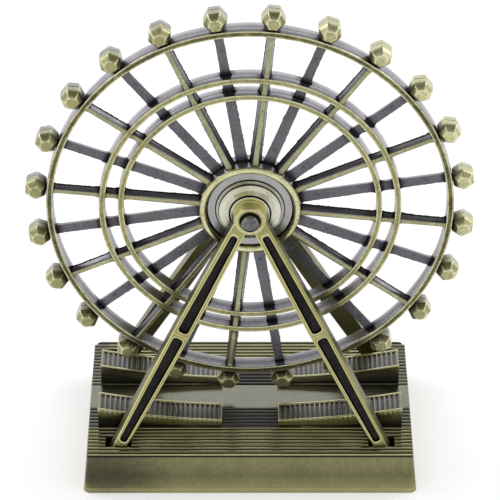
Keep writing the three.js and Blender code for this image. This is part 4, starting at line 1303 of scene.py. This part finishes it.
class MODEL_OT_screws(bpy.types.Operator):
    """Finish the four foot screws: their nodes stay, with eased edges and a steel skin"""

    bl_idname = "wheel_model.screws"
    bl_label = "Foot screws"

    def execute(self, context):
        material, tree, shader = new_material("screw_skin")
        shader.inputs["Metallic"].default_value = 1.0
        place = tree.nodes.new("ShaderNodeTexCoord").outputs["Object"]
        skin = placed(tree, "cast_grain", {"Place": place, "Scale": 1400.0, "Pits": 0.2})
        tone = mixed(tree, ramped(tree, skin["Patches"], 0.4, 0.7), *tones_of("steel", "smoke_dark"))
        tree.links.new(tone, shader.inputs["Base Color"])
        tree.links.new(maths(tree, "MULTIPLY_ADD", skin["Patches"], 0.3, 0.5), shader.inputs["Roughness"])
        raised = {"Height": skin["Height"], "Strength": 0.3, "Distance": 0.02 * MM}
        tree.links.new(add(tree, "ShaderNodeBump", raised).outputs[0], shader.inputs["Normal"])
        for name, _, _ in QUARTERS:
            screw = frame["nodes"]["foot_screw_" + name]
            screw.data.materials.clear()
            screw.data.materials.append(material)
            screw.modifiers.new("joined corners", "WELD").merge_threshold = 0.001 * MM
            eased = screw.modifiers.new("eased edges", "BEVEL")
            eased.width = 0.12 * MM
            eased.segments = 2
        return {"FINISHED"}


# Stage.


def softbox(name, place, target, side, strength):
    """A square lamp that faces a point. Its power is brightness times area times pi."""
    lamp = bpy.data.lights.new(name, "AREA")
    lamp.shape = "RECTANGLE"
    lamp.size = lamp.size_y = side
    lamp.energy = strength * side**2 * math.pi
    holder = bpy.data.objects.new(name, lamp)
    bpy.context.scene.collection.objects.link(holder)
    holder.location = place
    holder.rotation_euler = (Vector(target) - Vector(place)).to_track_quat("-Z", "Y").to_euler()
    holder.visible_camera = False


def seen_rays(tree):
    """Whether a ray comes from the camera, and whether it does so or is mirrored or passed on."""
    path = tree.nodes.new("ShaderNodeLightPath").outputs
    seen = maths(tree, "MAXIMUM", path["Is Camera Ray"], path["Is Glossy Ray"])
    return path["Is Camera Ray"], maths(tree, "MAXIMUM", seen, path["Is Transmission Ray"])


def paper_floor():
    """A round sheet of white paper that glows a little where it is seen."""
    radius, turn = 3, round_angles(96)
    ring = np.stack([radius * np.cos(turn), radius * np.sin(turn), turn * 0], -1)
    mesh = bpy.data.meshes.new("floor")
    mesh.from_pydata(ring.tolist(), [], [list(range(len(turn)))])
    floor = bpy.data.objects.new("floor", mesh)
    bpy.context.scene.collection.objects.link(floor)
    paper, tree, shader = new_material("white_paper")
    shader.inputs["Base Color"].default_value = (0.86, 0.86, 0.86, 1)
    shader.inputs["Roughness"].default_value = 0.9
    shader.inputs["Specular IOR Level"].default_value = 0.0
    shader.inputs["Emission Color"].default_value = (1, 1, 1, 1)
    _, seen = seen_rays(tree)
    tree.links.new(maths(tree, "MULTIPLY", seen, 0.3), shader.inputs["Emission Strength"])
    mesh.materials.append(paper)


def surrounding_light(stage):
    """Even white light from all around, with a ceiling that only the metal sees darker."""
    world = bpy.data.worlds.new("studio")
    bpy.context.scene.world = world
    world.use_nodes = True
    tree = world.node_tree
    from_camera, seen = seen_rays(tree)
    direction = tree.nodes.new("ShaderNodeTexCoord").outputs["Generated"]
    height = add(tree, "ShaderNodeSeparateXYZ", {"Vector": direction}).outputs["Z"]
    ceiling = ramped(tree, height, stage.ceiling_from, stage.ceiling_to)
    shown = maths(tree, "MAXIMUM", spanned(tree, ceiling, 1.0, stage.ceiling), from_camera)
    background = tree.nodes["Background"]
    background.inputs["Color"].default_value = (1, 1, 1, 1)
    tree.links.new(spanned(tree, seen, stage.surround, shown), background.inputs["Strength"])


def aimed_camera(stage):
    """The camera, turned and tilted round the point that it looks at."""
    elevation, azimuth, roll = stage.elevation, stage.azimuth, stage.roll
    level = math.cos(elevation)
    back = Vector((math.sin(azimuth) * level, -math.cos(azimuth) * level, math.sin(elevation)))
    right = (-back).cross(Vector((0, 0, 1))).normalized()
    up = right.cross(-back)
    tilted_right = right * math.cos(roll) + up * math.sin(roll)
    tilted_up = up * math.cos(roll) - right * math.sin(roll)
    camera = bpy.data.cameras.new("camera")
    camera.lens = stage.lens
    camera.sensor_width = 36
    camera.clip_start = 0.01
    holder = bpy.data.objects.new("camera", camera)
    bpy.context.scene.collection.objects.link(holder)
    axes = Matrix((tilted_right, tilted_up, back)).transposed().to_4x4()
    place = Vector((0, 0, stage.aim)) + back * stage.distance
    holder.matrix_world = Matrix.Translation(place) @ axes
    bpy.context.scene.camera = holder


class MODEL_OT_stage(bpy.types.Operator):
    """Make the pale floor, the surrounding light, the lamps and the camera"""

    bl_idname = "wheel_model.stage"
    bl_label = "Stage"

    def execute(self, context):
        stage = sizes().stage
        paper_floor()
        surrounding_light(stage)
        for name, side in (("left lamp", -1), ("right lamp", 1)):
            softbox(name, (side * 0.74, 0.26, 0.66), (0, 0, 0.06), 0.4, 2.6)
        aimed_camera(stage)
        context.scene.view_settings.view_transform = "Standard"
        return {"FINISHED"}


STEPS = (
    MODEL_OT_finishes,
    MODEL_OT_base,
    MODEL_OT_ramps,
    MODEL_OT_frames,
    MODEL_OT_hub,
    MODEL_OT_wheel,
    MODEL_OT_pods,
    MODEL_OT_screws,
    MODEL_OT_stage,
)


class MODEL_PT_panel(bpy.types.Panel):
    """Lists the steps that build the model"""

    bl_idname = "MODEL_PT_panel"
    bl_label = "Ferris wheel desk model"
    bl_space_type = "VIEW_3D"
    bl_region_type = "UI"
    bl_category = "Ferris wheel"

    def draw(self, context):
        for step in STEPS:
            self.layout.operator(step.bl_idname)


GROUPS = (
    BaseSizes, SocketSizes, RampSizes, FrameSizes, WheelSizes, HubSizes, PodSizes, Finishes, StageSizes,
    WheelModel,
)


def register():
    for made in (*GROUPS, *STEPS, MODEL_PT_panel):
        bpy.utils.register_class(made)
    bpy.types.Scene.wheel_model = bpy.props.PointerProperty(type=WheelModel)


def unregister():
    del bpy.types.Scene.wheel_model
    for made in reversed((*GROUPS, *STEPS, MODEL_PT_panel)):
        bpy.utils.unregister_class(made)


def main():
    """Builds the model step by step."""
    register()
    for step in STEPS:
        group_name, action = step.bl_idname.split(".")
        getattr(getattr(bpy.ops, group_name), action)()


if __name__ == "__main__":
    main()
